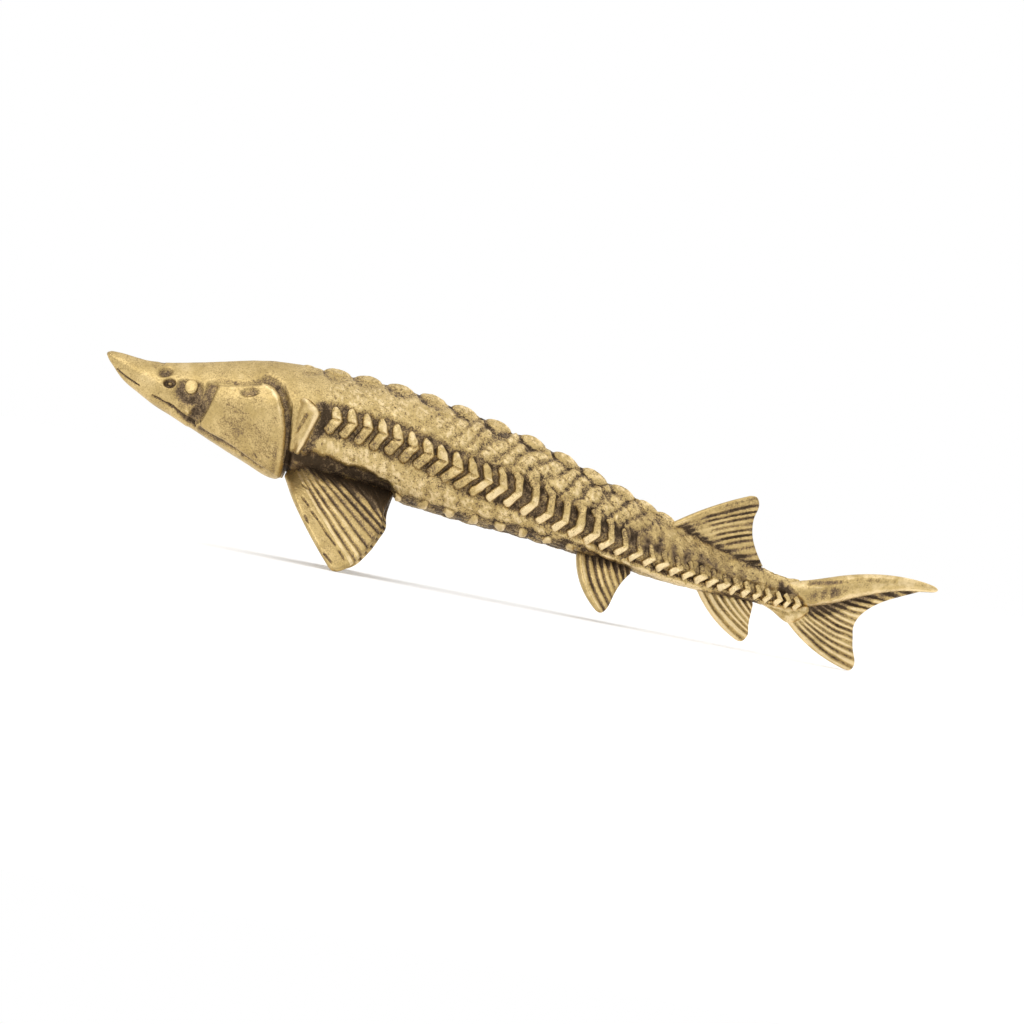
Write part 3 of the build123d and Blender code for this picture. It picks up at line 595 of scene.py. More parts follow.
# Belly scutes: small worn studs along the lower edge of each flank, cast in one with the trunk and worn
# bright where the figurine is handled.
def belly_scutes():
    """Uneven studs: rounded squares with two waves round the rim, domed."""
    x0 = np.array([-13.5, -10.5, -7.4, -4.4, -1.4, 1.5, 4.3, 7.0])[:, None, None]
    radius = np.linspace(0, 1, 10)[None, :, None]
    angle = np.linspace(0, 2 * np.pi, 32, endpoint=False)[None, None, :]
    square = 1 / (np.abs(np.cos(angle)) ** 3 + np.abs(np.sin(angle)) ** 3) ** (1 / 3)
    square = square * (1 + 0.13 * np.sin(2 * angle + 3 * x0) + 0.1 * np.sin(3 * angle + 5 * x0))
    size = 0.64 - 0.14 * ease(-1, 7, x0) - 0.18 * (1 - ease(-13.4, -11, x0))
    x = x0 + size * 1.05 * radius * square * np.cos(angle) + 0.1 * np.sin(3 * x0)
    z = belly(x0) + 0.6 + size * 0.8 * radius * square * np.sin(angle)
    lift = -0.3 + 0.6 * np.clip(1 - radius**3, 0, 1) ** 0.6
    top = skin_points(x, z, lift + 0 * x)
    under = skin_points(x, z, -0.3 - 0.3 * (1 - radius**2) + 0 * x)
    recess = 0.06 + 0.3 * ease(0.7, 1.0, radius) + 0.1 * ripple(x, z, 0.4, 73)
    studs = np.concatenate([top, under[:, -2::-1]], axis=1)
    return studs, np.concatenate([recess, np.ones_like(recess[:, -2::-1])], axis=1)


studs, stud_recess = belly_scutes()
cast_pair("belly_scutes", "trunk", studs, stud_recess, smooth_brass)


# Head: snout, skull and jaws in one brass casting, smoothed by hand, with a spigot in the trunk. The cheeks
# are sunk round the eyes, the nostrils are two pits on each side, and the mouth is a cut line.
MOUTH = [(-43.7, 15.65), (-42.2, 15.2), (-41, 14.85), (-40.2, 14.35), (-39.3, 13.85), (-38.2, 13.1)]
LOWER_LIP = [(-40.9, 14.15), (-40.0, 13.75), (-39.2, 13.4)]
SNOUT_LINE = [(-48.4, 17.85), (-47.3, 17.25), (-45.5, 16.5)]
CHEEK_EDGE = [(-37.0, 17.9), (-37.15, 16.8), (-37.9, 15.2), (-38.4, 14.0)]
JAW_SEAM = [(-37.4, 12.95), (-36.2, 12.5), (-34.6, 12.1), (-32.8, 11.4), (-29.6, 9.95)]
SNOUT_ROUND = 0.65


def round_edge(distance, radius):
    """Quarter circle: 0 at an edge, and 1 at a radius or more inside it."""
    return np.sqrt(np.clip(1 - (1 - np.clip(distance / radius, 0, 1)) ** 2, 0, 1))


def head_skin():
    """Body loops from the snout tip back, drawn in to a round tip and carved by ovals and strokes of the
    side view."""
    share = np.linspace(0, 1, 300)
    length = TRUNK_FRONT - 0.01 - SNOUT_TIP
    stations = np.append(SNOUT_TIP + length * (0.25 * share**2 + 0.75 * share), TRUNK_FRONT)
    points = body_loop(stations, 58, 44)
    x, y, z = points[..., 0], points[..., 1], points[..., 2]
    blunt = round_edge(x - SNOUT_TIP, SNOUT_ROUND)
    middle = (back(x) + belly(x)) / 2
    points = np.stack([x, y * blunt, middle + (z - middle) * blunt], axis=2)
    height = np.zeros_like(x)
    hollow = np.zeros_like(x)

    def carve(mask, depth, darkening):
        """Sinks the skin by depth and darkens it by the given amount, as far as mask goes. The darkening
        stands for patina and painted shade, and a negative amount lightens.
        """
        nonlocal height, hollow
        height = height - depth * mask
        hollow = hollow + darkening * mask

    # nostrils, the pool round the eye and the shaded cheek, darkened with painted shade
    on_flank = np.abs(y) > 0.35 * half_width(x)
    upper_nostril = spot(x, z, (-42.75, 18.65), (0.88, 0.56), 20)
    carve((1 - ease(0.4, 1.3, upper_nostril)) * on_flank, 0.42, 0.58)
    lower_nostril = spot(x, z, (-42.0, 17.48), (0.75, 0.6), 15)
    ring = (1 - ease(0.75, 1.1, lower_nostril)) * (1 - 0.6 * (1 - ease(0.15, 0.5, lower_nostril)))
    carve(ring, 0.45, 0.66)
    eye_pool = 1 - ease(0.7, 1.15, spot(x, z, (-39.5, 17.0), (1.8, 1.6)))
    eye_pool *= 1 - ease(18.1, 18.5, z)
    carve(eye_pool, 0.35, 0.5 + 0.12 * ripple(x, z, 0.7, 35))
    cheek = 1 - ease(0.45, 0.95, stroke(x, z, CHEEK_EDGE))
    carve(cheek * (1 - 0.8 * eye_pool), 0.35, 0.42 + 0.15 * ripple(x, z, 0.7, 36))
    carve(1 - ease(0.5, 1.2, spot(x, z, (-38.9, 15.3), (1.5, 1.5))), 0.08, 0.22)
    # mouth, lip and the bead in its corner, and a cut line along the snout: the cuts darkened as patina and
    # painted shade, the lip and the bead lightened
    carve(1 - ease(0.04, 0.24, stroke(x, z, MOUTH) + 0.07 * ripple(x, z, 0.4, 37)), 0.22, 0.62)
    carve(1 - ease(0.15, 0.55, stroke(x, z, LOWER_LIP)), -0.2, -0.1)
    carve(1 - ease(0.3, 1.0, spot(x, z, (-39.3, 14.65), (0.6, 0.35), -30)), -0.22, -0.4)
    carve(1 - ease(0.04, 0.17, stroke(x, z, SNOUT_LINE)), 0.16, 0.65)
    # gill slit, brow line, jaw seam and a nick on the forehead, darkened as patina and painted shade
    slit = 1 - ease(0.1, 0.95, stroke(x, z, GILL_SLIT) + 0.15 * ripple(x, z, 0.8, 38))
    carve(slit * ease(-33.2, -30.6, x), GILL_DEPTH, 0.46)
    brow = 1 - ease(0.04, 0.25, stroke(x, z, GILL_SLIT[:4]) - 0.1)
    carve(brow * (1 - ease(-33, -31, x)), 0.06, 0.22)
    carve(1 - ease(0.06, 0.42, 0.12 * ripple(x, z, 0.6, 39) + stroke(x, z, JAW_SEAM)), 0.22, 0.52)
    carve(1 - ease(0.4, 1.0, spot(x, z, (-43.5, 19.75), (0.5, 0.25))), 0.06, 0.3)
    # soft unevenness of the hand-smoothed metal, with a few pits
    soft = ripple(x, z + 3 * np.sign(y), 2.4, 31) + 0.6 * ripple(x, z, 1.1, 32)
    pits = ease(0.75, 1.25, ripple(x + 9, z + 9, 0.5, 33) + 0.6 * ripple(x, z, 0.27, 34))
    height = height + 0.03 * soft - 0.03 * pits
    hollow = hollow + 0.22 * pits + 0.08 * soft + 0.19
    height = height * ease(0, 0.5, TRUNK_FRONT - x + 0.5 * slit)
    points = points + outward(points) * (height * blunt)[..., None]
    end = np.broadcast_to(points[-1].mean(axis=0), points[:1].shape)
    hollow = np.concatenate([hollow, hollow[-1:]])
    cast("head_skin", "head", np.concatenate([points, end]), hollow, smooth_brass)


head_skin()


# Eyes: short brass pins set in drilled sockets in the cheek pools, their heads filed flat and bright and cut
# straight along the brow.
EYE_X, EYE_Z = -39.45, 17.62
EYE_WIDE, EYE_TALL, BROW_CUT = 0.76, 0.9, 0.78


def eye_bead():
    """Round head with a flat face and a bevelled rim, cut off along the top."""
    radius = np.array([0, 0.5, 0.8, 0.9, 0.97, 1.0, 1.0, 1.0])[:, None]
    rise = np.array([-0.02, -0.02, -0.03, -0.06, -0.12, -0.2, -0.4, -0.7])[:, None]
    angle = np.linspace(0, 2 * np.pi, 48, endpoint=False)[None, :]
    x = EYE_X + EYE_WIDE * radius * np.cos(angle)
    z = EYE_Z + np.minimum(EYE_TALL * radius * np.sin(angle), BROW_CUT)
    face = skin_points(x, z, rise + 0 * x)
    inner = np.broadcast_to(face[-1:].mean(axis=1, keepdims=True), face[:1].shape)
    recess = np.broadcast_to(0.12 + ease(0.9, 1.0, radius) * 0.35, x.shape)
    return np.concatenate([face, inner]), np.concatenate([recess, recess[-1:]])


bead_points, bead_recess = eye_bead()
cast_pair("eye_bead", "eye", bead_points, bead_recess, smooth_brass)


# Gill covers: domed brass plates on the cheeks, one peg behind each, with a raised rim at the rear and an
# oblong dent near the top.
def edge_line(points, share):
    """Point of an outline edge at a share of its length, on a curve through the given points."""
    points = np.array(points, float)
    place = np.concatenate([[0], np.cumsum(np.hypot(*np.diff(points, axis=0).T))])
    place /= place[-1]
    return np.stack([curve(np.stack([place, points[:, k]], 1))(share) for k in (0, 1)], axis=-1)


def plate_grid(front, top, rear, bottom, rows, columns):
    """Side-view grid that fills four edges: the sum of the two ruled blends less the blend of the
    corners."""
    a, b = np.linspace(0, 1, rows), np.linspace(0, 1, columns)
    low, high = edge_line(bottom, a)[:, None], edge_line(top, a)[:, None]
    near, far = edge_line(front, b)[None], edge_line(rear, b)[None]
    a, b = a[:, None, None], b[None, :, None]
    corners = ((1 - a) * (1 - b) * np.array(bottom[0]) + a * (1 - b) * np.array(bottom[-1])
               + (1 - a) * b * np.array(top[0]) + a * b * np.array(top[-1]))
    return (1 - b) * low + b * high + (1 - a) * near + a * far - corners


def closed_plate(grid, lift, recess, depth):
    """Plate on the left flank from its side-view grid. lift is its height over the skin, 0 at the rim. The
    back lies under the skin and meets the front along the rim."""
    x, z = grid[..., 0], grid[..., 1]
    rim = np.zeros(x.shape)
    rim[1:-1, 1:-1] = 1
    top = skin_points(x, z, lift)
    back_side = skin_points(x, z, lift * (1 - rim) - depth * rim)
    points = np.concatenate([top, back_side[:, -2:0:-1]], axis=1)
    return points, np.concatenate([recess, np.ones_like(recess[:, -2:0:-1])], axis=1)


def plate_rim(x, z, edges, radius):
    """Quarter-circle rise of a plate from its outline inwards."""
    front, top, rear, bottom = edges
    return round_edge(stroke(x, z, front + top[1:] + rear[::-1][1:] + bottom[::-1][1:]), radius)


GILL_FRONT = [(-37.45, 13.2), (-37.6, 13.65), (-37.05, 15.2), (-36.6, 17.0), (-36.3, 18.35)]
GILL_TOP = [(-36.3, 18.35), (-34.2, 18.66), (-32.1, 19.1), (-30.8, 19.5), (-29.85, 19.2)]
GILL_REAR = [(-27.3, 9.3), (-27.15, 10.5), (-27.3, 12.5), (-27.6, 14.8), (-28.2, 16.9), (-29.0, 18.4),
             (-29.85, 19.2)]
GILL_BOTTOM = [(-37.45, 13.2), (-36.2, 12.7), (-34.6, 12.3), (-32.8, 11.6), (-31.0, 10.75), (-29.4, 10.05),
               (-28.1, 9.45), (-27.3, 9.3)]
GILL_EDGES = (GILL_FRONT, GILL_TOP, GILL_REAR, GILL_BOTTOM)
SCRATCHES = ([(-34.6, 16.25), (-33.9, 16.1)], [(-33.4, 16.0), (-32.6, 15.6), (-32.0, 15.75)],
             [(-35.6, 14.2), (-34.8, 13.6)], [(-31.2, 12.2), (-30.2, 11.2)], [(-29.3, 11.6), (-28.8, 11.4)])


def gill_cover():
    """Plate that stands about 0.3 mm off the cheek in front and 0.45 mm behind, rounded at the rim, with its
    rear rim raised a little more."""
    grid = plate_grid(*GILL_EDGES, 150, 150)
    x, z = grid[..., 0], grid[..., 1]
    rounded = plate_rim(x, z, GILL_EDGES, 0.45)
    rear = stroke(x, z, GILL_REAR + [GILL_TOP[-2]])
    rim = np.exp(-(((rear - 0.45) / 0.3) ** 2))
    step = np.exp(-(((rear - 1.0) / 0.22) ** 2)) * (1 - ease(12, 13.5, z))
    dent = 1 - ease(0.6, 1.15, spot(x, z, (-32.5, 18.0), (1.15, 0.5), 14))
    dimples = 1.2 * np.exp(-spot(x, z, (-33.4, 14.2), (1.4, 1.1)) ** 2)
    dimples += np.exp(-spot(x, z, (-30.1, 13.7), (1.1, 0.9)) ** 2)
    soft = ripple(x, z, 2.0, 41) + 0.7 * ripple(x, z, 0.8, 42)
    scratch = sum(1 - ease(0.02, 0.12, stroke(x, z, path)) for path in SCRATCHES)
    pits = ease(0.7, 1.25, ripple(x + 5, z, 0.45, 43) + 0.6 * ripple(x, z, 0.24, 44))
    lift = -0.15 + rounded * (0.42 + 0.18 * ease(-37.5, -34, x) + 0.08 * rim)
    lift += 0.025 * soft - 0.06 * step - 0.22 * dent - 0.05 * dimples - 0.03 * pits - 0.04 * scratch
    # painted shade along the rounded rim, the raised rear rim lighter as wear and painted highlight, and the
    # dent, the dimples, the step, the scratches and the pits darker
    recess = (0.4 * (1 - ease(0.2, 0.7, rounded)) + 0.25 * dent + 0.16 * dimples * (0.8 + 0.6 * soft)
              + 0.22 * step + 0.2 * scratch + 0.14 * pits + 0.23 + 0.1 * soft - 0.16 * rim)
    return closed_plate(grid, lift, recess, 0.5)


cover_points, cover_recess = gill_cover()
cast_pair("gill_plate", "gill_cover", cover_points, cover_recess, smooth_brass)


# Shoulder plates: bent strips of brass behind the gill opening, one peg behind each. A ridge runs down the
# rear border and bends at the lateral row, lighter as wear and painted highlight.
PLATE_FRONT = [(-26.35, 12.55), (-26.75, 13.3), (-26.9, 15.0), (-26.95, 17.0), (-26.7, 18.6)]
PLATE_TOP = [(-26.7, 18.6), (-26.45, 18.85), (-26.15, 18.85)]
PLATE_REAR = [(-25.5, 12.35), (-25.05, 13.4), (-24.6, 15.0), (-24.1, 16.6), (-23.95, 17.25), (-24.4, 17.85),
              (-26.15, 18.85)]
PLATE_BOTTOM = [(-26.35, 12.55), (-25.95, 12.25), (-25.5, 12.35)]
PLATE_EDGES = (PLATE_FRONT, PLATE_TOP, PLATE_REAR, PLATE_BOTTOM)
PLATE_GROOVE = [(-25.55, 16.9), (-25.9, 15.9), (-26.35, 14.9)]


def shoulder_plate():
    """Leaf-shaped plate that rises gently from its front edge to a ridge along its rear border, with a short
    slanting groove inside the ridge."""
    grid = plate_grid(*PLATE_EDGES, 60, 120)
    x, z = grid[..., 0], grid[..., 1]
    rounded = plate_rim(x, z, PLATE_EDGES, 0.3)
    ridge = np.exp(-(((stroke(x, z, PLATE_REAR) - 0.42) / 0.4) ** 2))
    groove = 1 - ease(0.05, 0.3, stroke(x, z, PLATE_GROOVE))
    rise = ease(0, 1.0, stroke(x, z, PLATE_FRONT))
    lift = -0.3 + rounded * (0.2 + 0.42 * rise + 0.3 * ridge - 0.16 * groove)
    # painted shade along the rim towards the rear, patina and painted shade in the groove, and the ridge
    # lighter as wear and painted highlight
    recess = 0.18 + 0.3 * (1 - ease(0.15, 0.6, rounded)) * rise + 0.36 * groove - 0.18 * ridge
    return closed_plate(grid, lift, recess + 0.08 * ripple(x, z, 0.6, 45), 0.7)


plate_points, plate_recess = shoulder_plate()
cast_pair("shoulder_strip", "shoulder_plate", plate_points, plate_recess, smooth_brass)


# Pectoral fins: broad brass blades soldered in slots under the shoulders, leaning outwards, and the front
# feet of the figurine. A thick smooth ray leads, and grooves fan back between the thinner rays.
TUCK_LENGTH = 3.2


def fin_blade(root, rim, bow, grooves, thickness, darkening, shade, shade_above, lean=None, rays_from=0.0,
              camber=0.0, front_darkening=0.0, lead_ray=1.0, nicks=()):
    """Fan of rays: each goes straight from a root point to a rim point at the same share s, bowed towards
    the leading edge. Thickness rounds to nothing at the rim and sinks in the grooves. Patina and painted
    shade lie in the grooves, painted shade lies past a shade line of the side view, and the crests of the
    rays are lighter as wear and painted highlight. nicks are short scratches given as paths of the side view.
    lean is (y, z, angle, tuck): the line a paired fin leans out about, and how far the front, the middle and
    the rear of its root bend in to the body. A single fin stands upright."""
    ends = 0.03 * (1 - np.cos(np.linspace(0, np.pi / 2, 10)))
    s = np.concatenate([ends, np.linspace(0.03, 0.97, 222)[1:-1], 1 - ends[::-1]])[:, None]
    tip = 0.95 + 0.05 * np.sin(np.linspace(0, np.pi / 2, 14))[1:]
    t = np.concatenate([np.linspace(0, 0.95, 70), tip])[None, :]
    root, rim, grooves = np.array(root, float), np.array(rim, float), np.array(grooves, float)
    from_x, from_z = curve(root[:, [0, 1]])(s), curve(root[:, [0, 2]])(s)
    to_x, to_z = curve(rim[:, [0, 1]])(s), curve(rim[:, [0, 2]])(s)
    x, z = from_x + (to_x - from_x) * t, from_z + (to_z - from_z) * t
    length = np.hypot(to_x - from_x, to_z - from_z)
    push = bow * (1 - s) ** 1.5 * 4 * t * (1 - t)
    lead = np.array([rim[0, 2] - root[0, 2], root[0, 1] - rim[0, 1]])
    lead = lead / np.hypot(*lead) * (-1 if rim[0, 2] > root[0, 2] else 1)
    x, z = x + push * lead[0], z + push * lead[1]
    across = np.hypot(np.gradient(x, axis=0), np.gradient(z, axis=0))
    width = np.cumsum(across, axis=0)
    from_lead, from_end = width - width[:1], width[-1:] - width
    body = round_edge(from_lead, 0.45) * round_edge(from_end, 0.3) * round_edge((1 - t) * length, 0.35)
    scale = across / np.gradient(s, axis=0)
    waver = ripple(x, z, 1.4, 51)
    off = np.abs(s[..., None] + 0.006 * waver[..., None] - grooves)
    which = off.argmin(axis=2)
    gap = off.min(axis=2) * scale
    pitch = np.gradient(grooves)[which] * scale
    cut = np.clip(0.22 * pitch, 0.05, 0.15) * (0.8 + 0.4 * darkening)
    strong = 0.75 + 0.25 * np.random.default_rng(52).uniform(-1, 1, len(grooves))
    groove = np.exp(-((gap / cut) ** 2)) * ease(rays_from - 0.1, rays_from + 0.12, t) * strong[which]
    for path in nicks:
        nick = 1 - ease(0.03, 0.17, stroke(x, z, path) + 0.06 * ripple(x, z, 0.4, 55))
        groove = np.maximum(groove, 0.8 * nick)
    full = thickness * (1 - 0.35 * t) * (1 + 0.3 * lead_ray * np.exp(-((from_lead - 0.5) / 0.55) ** 2))
    half = np.maximum(0.5 * full * body - np.clip(1.2 * cut, 0.06, 0.2) * groove * body, 0.0)
    # painted shade past the shade line of the side view, patina and painted shade in the grooves, the crests
    # of the rays lighter as wear and painted highlight, and a strip behind the leading edge darker
    line = np.interp(x, *np.array(shade, float).T)
    past = (z - line) * (1 if shade_above else -1) + 0.2 * ripple(x, z, 0.8, 53)
    lead_crest = 0.8 * lead_ray * np.exp(-((from_lead - 0.3) / 0.3) ** 2)
    crest = ease(0.2, 0.42, gap / pitch) * (gap < 0.75 * pitch) + lead_crest
    front = ease(0.5, 0.9, from_lead) * (1 - ease(1.4, 2.2, from_lead)) * (0.7 + 0.5 * waver)
    recess = 0.18 + darkening * groove * (0.9 + 0.25 * waver) - 0.15 * crest + front_darkening * front
    recess = recess + 0.07 * ripple(x, z, 0.9, 54)
    recess = recess + 0.75 * ease(-0.35, 0.45, past) * (1 - 0.45 * crest * (1 - ease(0.2, 1.2, past)))
    bulge = camber * 4 * t * (1 - t)
    if lean is None:
        middle = np.stack([x, 0 * x, z], axis=-1)
        normal = np.array([0, -1.0, 0])
    else:
        lean_y, lean_z, degrees, tucks = lean
        angle = np.radians(degrees)
        tuck = np.interp(s, [0, 0.5, 1], tucks) * (1 - ease(0, TUCK_LENGTH, t * length))
        middle = np.stack([x, tuck - lean_y - (lean_z - z) * np.tan(angle), z], axis=-1)
        normal = np.array([0, -np.cos(angle), np.sin(angle)])
    outer = middle + normal * (half + bulge)[..., None]
    inner = middle - normal * (half - bulge)[..., None]
    points = np.concatenate([outer, inner[:, -2::-1]], axis=1)
    return points, np.concatenate([recess, recess[:, -2::-1]], axis=1)


PECTORAL_ROOT = [(0, -26.9, 9.5), (0.3, -25.8, 10.7), (0.6, -24.0, 11.0), (0.8, -21.3, 10.9),
                 (0.9, -18.2, 10.7), (1, -14.2, 9.8)]
PECTORAL_RIM = [(0, -19.3, 0.25), (0.1, -18.45, 0.12), (0.2, -17.45, 0.65), (0.35, -16.4, 1.9),
                (0.5, -15.6, 3.2), (0.65, -14.95, 4.6), (0.8, -14.5, 5.9), (0.9, -14.65, 6.8),
                (1, -14.65, 7.7)]
PECTORAL_GROOVES = [0.31, 0.4, 0.505, 0.61, 0.7, 0.78, 0.86, 0.93]
PECTORAL_SHADE = [(-30, 10.3), (-24.75, 10.0), (-21.3, 9.4), (-19.2, 9.0), (-16.75, 8.2), (-15.2, 7.5),
                  (-14.2, 7.2)]
PECTORAL_NICKS = [[(-22.7, 5.7), (-21.4, 4.6), (-20.3, 3.5), (-19.3, 2.7)], [(-24.1, 7.1), (-23.3, 6.4)],
                  [(-23.4, 5.1), (-22.8, 4.4)], [(-18.7, 2.1), (-18.0, 1.4)], [(-20.3, 1.5), (-19.3, 0.75)],
                  [(-24.5, 8.6), (-23.9, 8.3)], [(-22.3, 6.8), (-21.8, 6.3)]]
pectoral, pectoral_recess = fin_blade(
    PECTORAL_ROOT, PECTORAL_RIM, bow=0.4, grooves=PECTORAL_GROOVES, thickness=1.0, darkening=0.66,
    shade=PECTORAL_SHADE, shade_above=True, lean=(4.2, 9.8, 40.0, (2.6, 0.5, 2.0)), rays_from=0.2,
    camber=0.25, lead_ray=0.3, nicks=PECTORAL_NICKS)
pectoral_recess += 0.24 * ease(0.35, 0.7, np.linspace(0, 1, len(pectoral_recess)))[:, None]
cast_pair("pectoral_blade", "pectoral_fin", pectoral, pectoral_recess, smooth_brass)


# Pelvic fins: small brass blades soldered in slots under the belly. They lean outwards like the pectoral
# ones and end clear of the table.
PELVIC_ROOT = [(0, 7.9, 8.0), (0.5, 11.0, 8.2), (1, 14.4, 7.4)]
PELVIC_RIM = [(0, 11.4, 1.3), (0.1, 12.0, 1.2), (0.2, 12.45, 1.6), (0.45, 13.0, 3.2), (0.75, 13.75, 5.1),
              (1, 14.5, 6.2)]
pelvic, pelvic_recess = fin_blade(
    PELVIC_ROOT, PELVIC_RIM, bow=0.8, grooves=np.linspace(0.17, 0.92, 7), thickness=0.9, darkening=0.8,
    shade=[(7, 7.1), (11, 6.3), (15, 5.7)], shade_above=True, lean=(2.3, 7.0, 28.0, (0, 0, 0)), rays_from=0.1)
cast_pair("pelvic_blade", "pelvic_fin", pelvic, pelvic_recess + 0.05, smooth_brass)


# Dorsal fin: one upright brass blade soldered in a slot in the back, with rays that slope up to the rear
# edge. Its foot is painted dark with shade, and the strip behind its leading edge is left dark.
DORSAL_ROOT = [(0, 18.0, 12.8), (0.3, 19.4, 12.0), (0.5, 21.0, 11.35), (0.7, 23.2, 10.75), (0.85, 25.3, 10.2),
               (1, 28.5, 9.5)]
DORSAL_RIM = [(0, 26.5, 17.75), (0.06, 27.25, 17.75), (0.12, 27.65, 17.2), (0.3, 27.5, 15.6),
              (0.5, 27.5, 14.0), (0.7, 27.9, 12.6), (0.85, 28.6, 11.3), (1, 29.5, 10.0)]
DORSAL_SHADE = [(18, 12.9), (20, 13.0), (23, 12.0), (26, 11.1), (29.5, 10.3)]
dorsal, dorsal_recess = fin_blade(
    DORSAL_ROOT, DORSAL_RIM, bow=0.3, grooves=np.linspace(0.15, 0.94, 10), thickness=0.9, darkening=0.78,
    shade=DORSAL_SHADE, shade_above=False, rays_from=0.36, front_darkening=0.28)
cast("dorsal_blade", "dorsal_fin", dorsal, dorsal_recess + 0.09, smooth_brass)


# Anal fin: one upright brass blade soldered in a slot under the tail stalk. It is rubbed bright, with
# thin grooves.
ANAL_ROOT = [(0, 22.2, 6.3), (0.5, 25.5, 6.5), (1, 28.9, 6.4)]
ANAL_RIM = [(0, 28.1, 1.0), (0.08, 28.7, 0.95), (0.16, 29.15, 1.4), (0.4, 29.25, 2.6), (0.7, 29.2, 4.1),
            (1, 29.25, 5.4)]
anal, anal_recess = fin_blade(
    ANAL_ROOT, ANAL_RIM, bow=0.6, grooves=np.linspace(0.12, 0.93, 7), thickness=0.9, darkening=0.62,
    shade=[(22, 5.8), (29.5, 5.45)], shade_above=True, rays_from=0.1)
cast("anal_blade", "anal_fin", anal, anal_recess - 0.1, smooth_brass)


# Tail lobe: a smooth solid horn that carries the back on to the tail tip, with a tang in the trunk. A line
# of pits runs along it.
HORN_TOP = [(32.2, 8.7), (34.7, 9.38), (36.65, 10.0), (38.6, 10.68), (42.4, 11.62), (46.3, 11.93),
            (48.4, 11.79), (50.0, 11.5)]
HORN_BOTTOM = [(33.4, 6.0), (35.7, 6.35), (37.2, 6.85), (38.8, 7.45), (40.5, 8.25), (42.4, 9.05), (44.4, 9.8),
               (46.3, 10.3), (48.2, 10.65), (50.0, 10.9)]
PIT_LINE = [(35.3, 9.15), (38.8, 9.95), (41.5, 10.75), (44.9, 11.25)]
STREAK = [(35.3, 9.15), (37.0, 9.5), (38.7, 9.95)]
horn_width = curve([(0, 1.28), (0.15, 1.25), (0.5, 1.0), (0.85, 0.66), (1, 0.42)])


def blunted(wave, power):
    """Sine or cosine raised to a power with its sign kept, which makes a round ring squarer."""
    return np.sign(wave) * np.abs(wave) ** power


def tail_horn():
    """Lens-shaped rings between an upper and a lower line of the side view, which start on a slanting edge
    and meet at the tip."""
    u = np.concatenate([np.linspace(0, 0.94, 150), 0.94 + 0.06 * np.sin(np.linspace(0, np.pi / 2, 16))[1:]])
    high, low = edge_line(HORN_TOP, u)[:, None], edge_line(HORN_BOTTOM, u)[:, None]
    cap = np.sqrt(1 - np.clip((u - 0.96) / 0.04, 0, 1) ** 2)[:, None]
    angle = np.linspace(0, 2 * np.pi, 96, endpoint=False)[None, :]
    side = (high + low) / 2 + (high - low) / 2 * blunted(np.cos(angle), 0.85)[..., None] * cap[..., None]
    x, z = side[..., 0], side[..., 1]
    y = -horn_width(u)[:, None] * cap * np.sin(angle)
    broken = ripple(x, z, 0.5, 61) + 0.5 * ripple(x, z, 0.25, 62)
    line = (1 - ease(0.05, 0.4, stroke(x, z, PIT_LINE))) * (0.5 + 0.5 * ease(-0.4, 0.5, broken))
    front = ease(-0.1, 0.3, (32.9 - x) * 0.625 + (8.6 - z) * 0.781 + 0.15 * broken)
    dull = 1 - ease(0.4, 1.3, spot(x, z, (37.4, 8.25), (3.0, 0.8), 25))
    streak = 1 - ease(0.1, 0.42, stroke(x, z, STREAK) + 0.12 * broken)
    low_rim = ease(0.35, 0.75, -np.cos(angle))
    teeth = ease(0.1, 0.6, ripple(x, 0 * z, 0.42, 67)) * ease(0.86, 0.97, -np.cos(angle))
    # darker along the pit line, at the front end and in the dull patch, painted shade in a streak along the
    # upper front and in a toothed band along the underside, and the lower side lighter as a painted highlight
    recess = 0.09 + 0.38 * line + 0.5 * front + 0.46 * dull * (0.8 + 0.5 * ripple(x, z / 2, 0.5, 66))
    recess = recess + 0.3 * streak - 0.12 * low_rim + 0.7 * teeth
    recess = recess + 0.05 * broken + 0.08 * ripple(x / 2, z, 0.8, 63)
    points = np.stack([x, y * (1 - 0.06 * line - 0.16 * front), z], axis=-1)
    start = np.broadcast_to(points[0].mean(axis=0) - np.array([1.0, 0, 0]), points[:1].shape)
    points, recess = np.concatenate([start, points]), np.concatenate([recess[:1], recess])
    cast("tail_horn", "tail_lobe", points, recess, smooth_brass)


tail_horn()


# Tail fin: the rayed web under the horn, soldered in a slot in the trunk and along the horn. Its lower tip
# is the rear foot. A smooth fleshy root covers the joint with the trunk.
TAIL_ROOT = [(0, 33.2, 4.5), (0.15, 34.6, 4.9), (0.3, 35.2, 5.7), (0.42, 35.9, 6.5), (0.5, 36.5, 7.0),
             (0.58, 37.2, 7.35), (0.68, 38.6, 8.0), (0.8, 40.6, 9.0), (0.9, 43.2, 10.1), (1, 46.0, 10.9)]
TAIL_RIM = [(0, 40.9, 0.14), (0.05, 41.7, 0.12), (0.1, 42.1, 0.7), (0.22, 41.7, 2.4), (0.36, 41.35, 4.0),
            (0.48, 41.2, 5.2), (0.58, 41.6, 6.4), (0.68, 42.5, 7.5), (0.8, 44.0, 8.65), (0.9, 45.8, 9.6),
            (1, 48.2, 10.75)]
TAIL_SHADE = [(33, 4.4), (34.6, 5.0), (35.8, 5.1), (38.4, 6.2), (40.3, 7.25), (42.2, 8.25), (44.3, 9.15),
              (46.3, 9.85), (49, 10.4)]
web, web_recess = fin_blade(
    TAIL_ROOT, TAIL_RIM, bow=0.6, grooves=np.linspace(0.08, 0.95, 14), thickness=0.95, darkening=0.85,
    shade=TAIL_SHADE, shade_above=True, rays_from=0.1)
cast("tail_web", "tail_fin", web, web_recess - 0.05, smooth_brass)

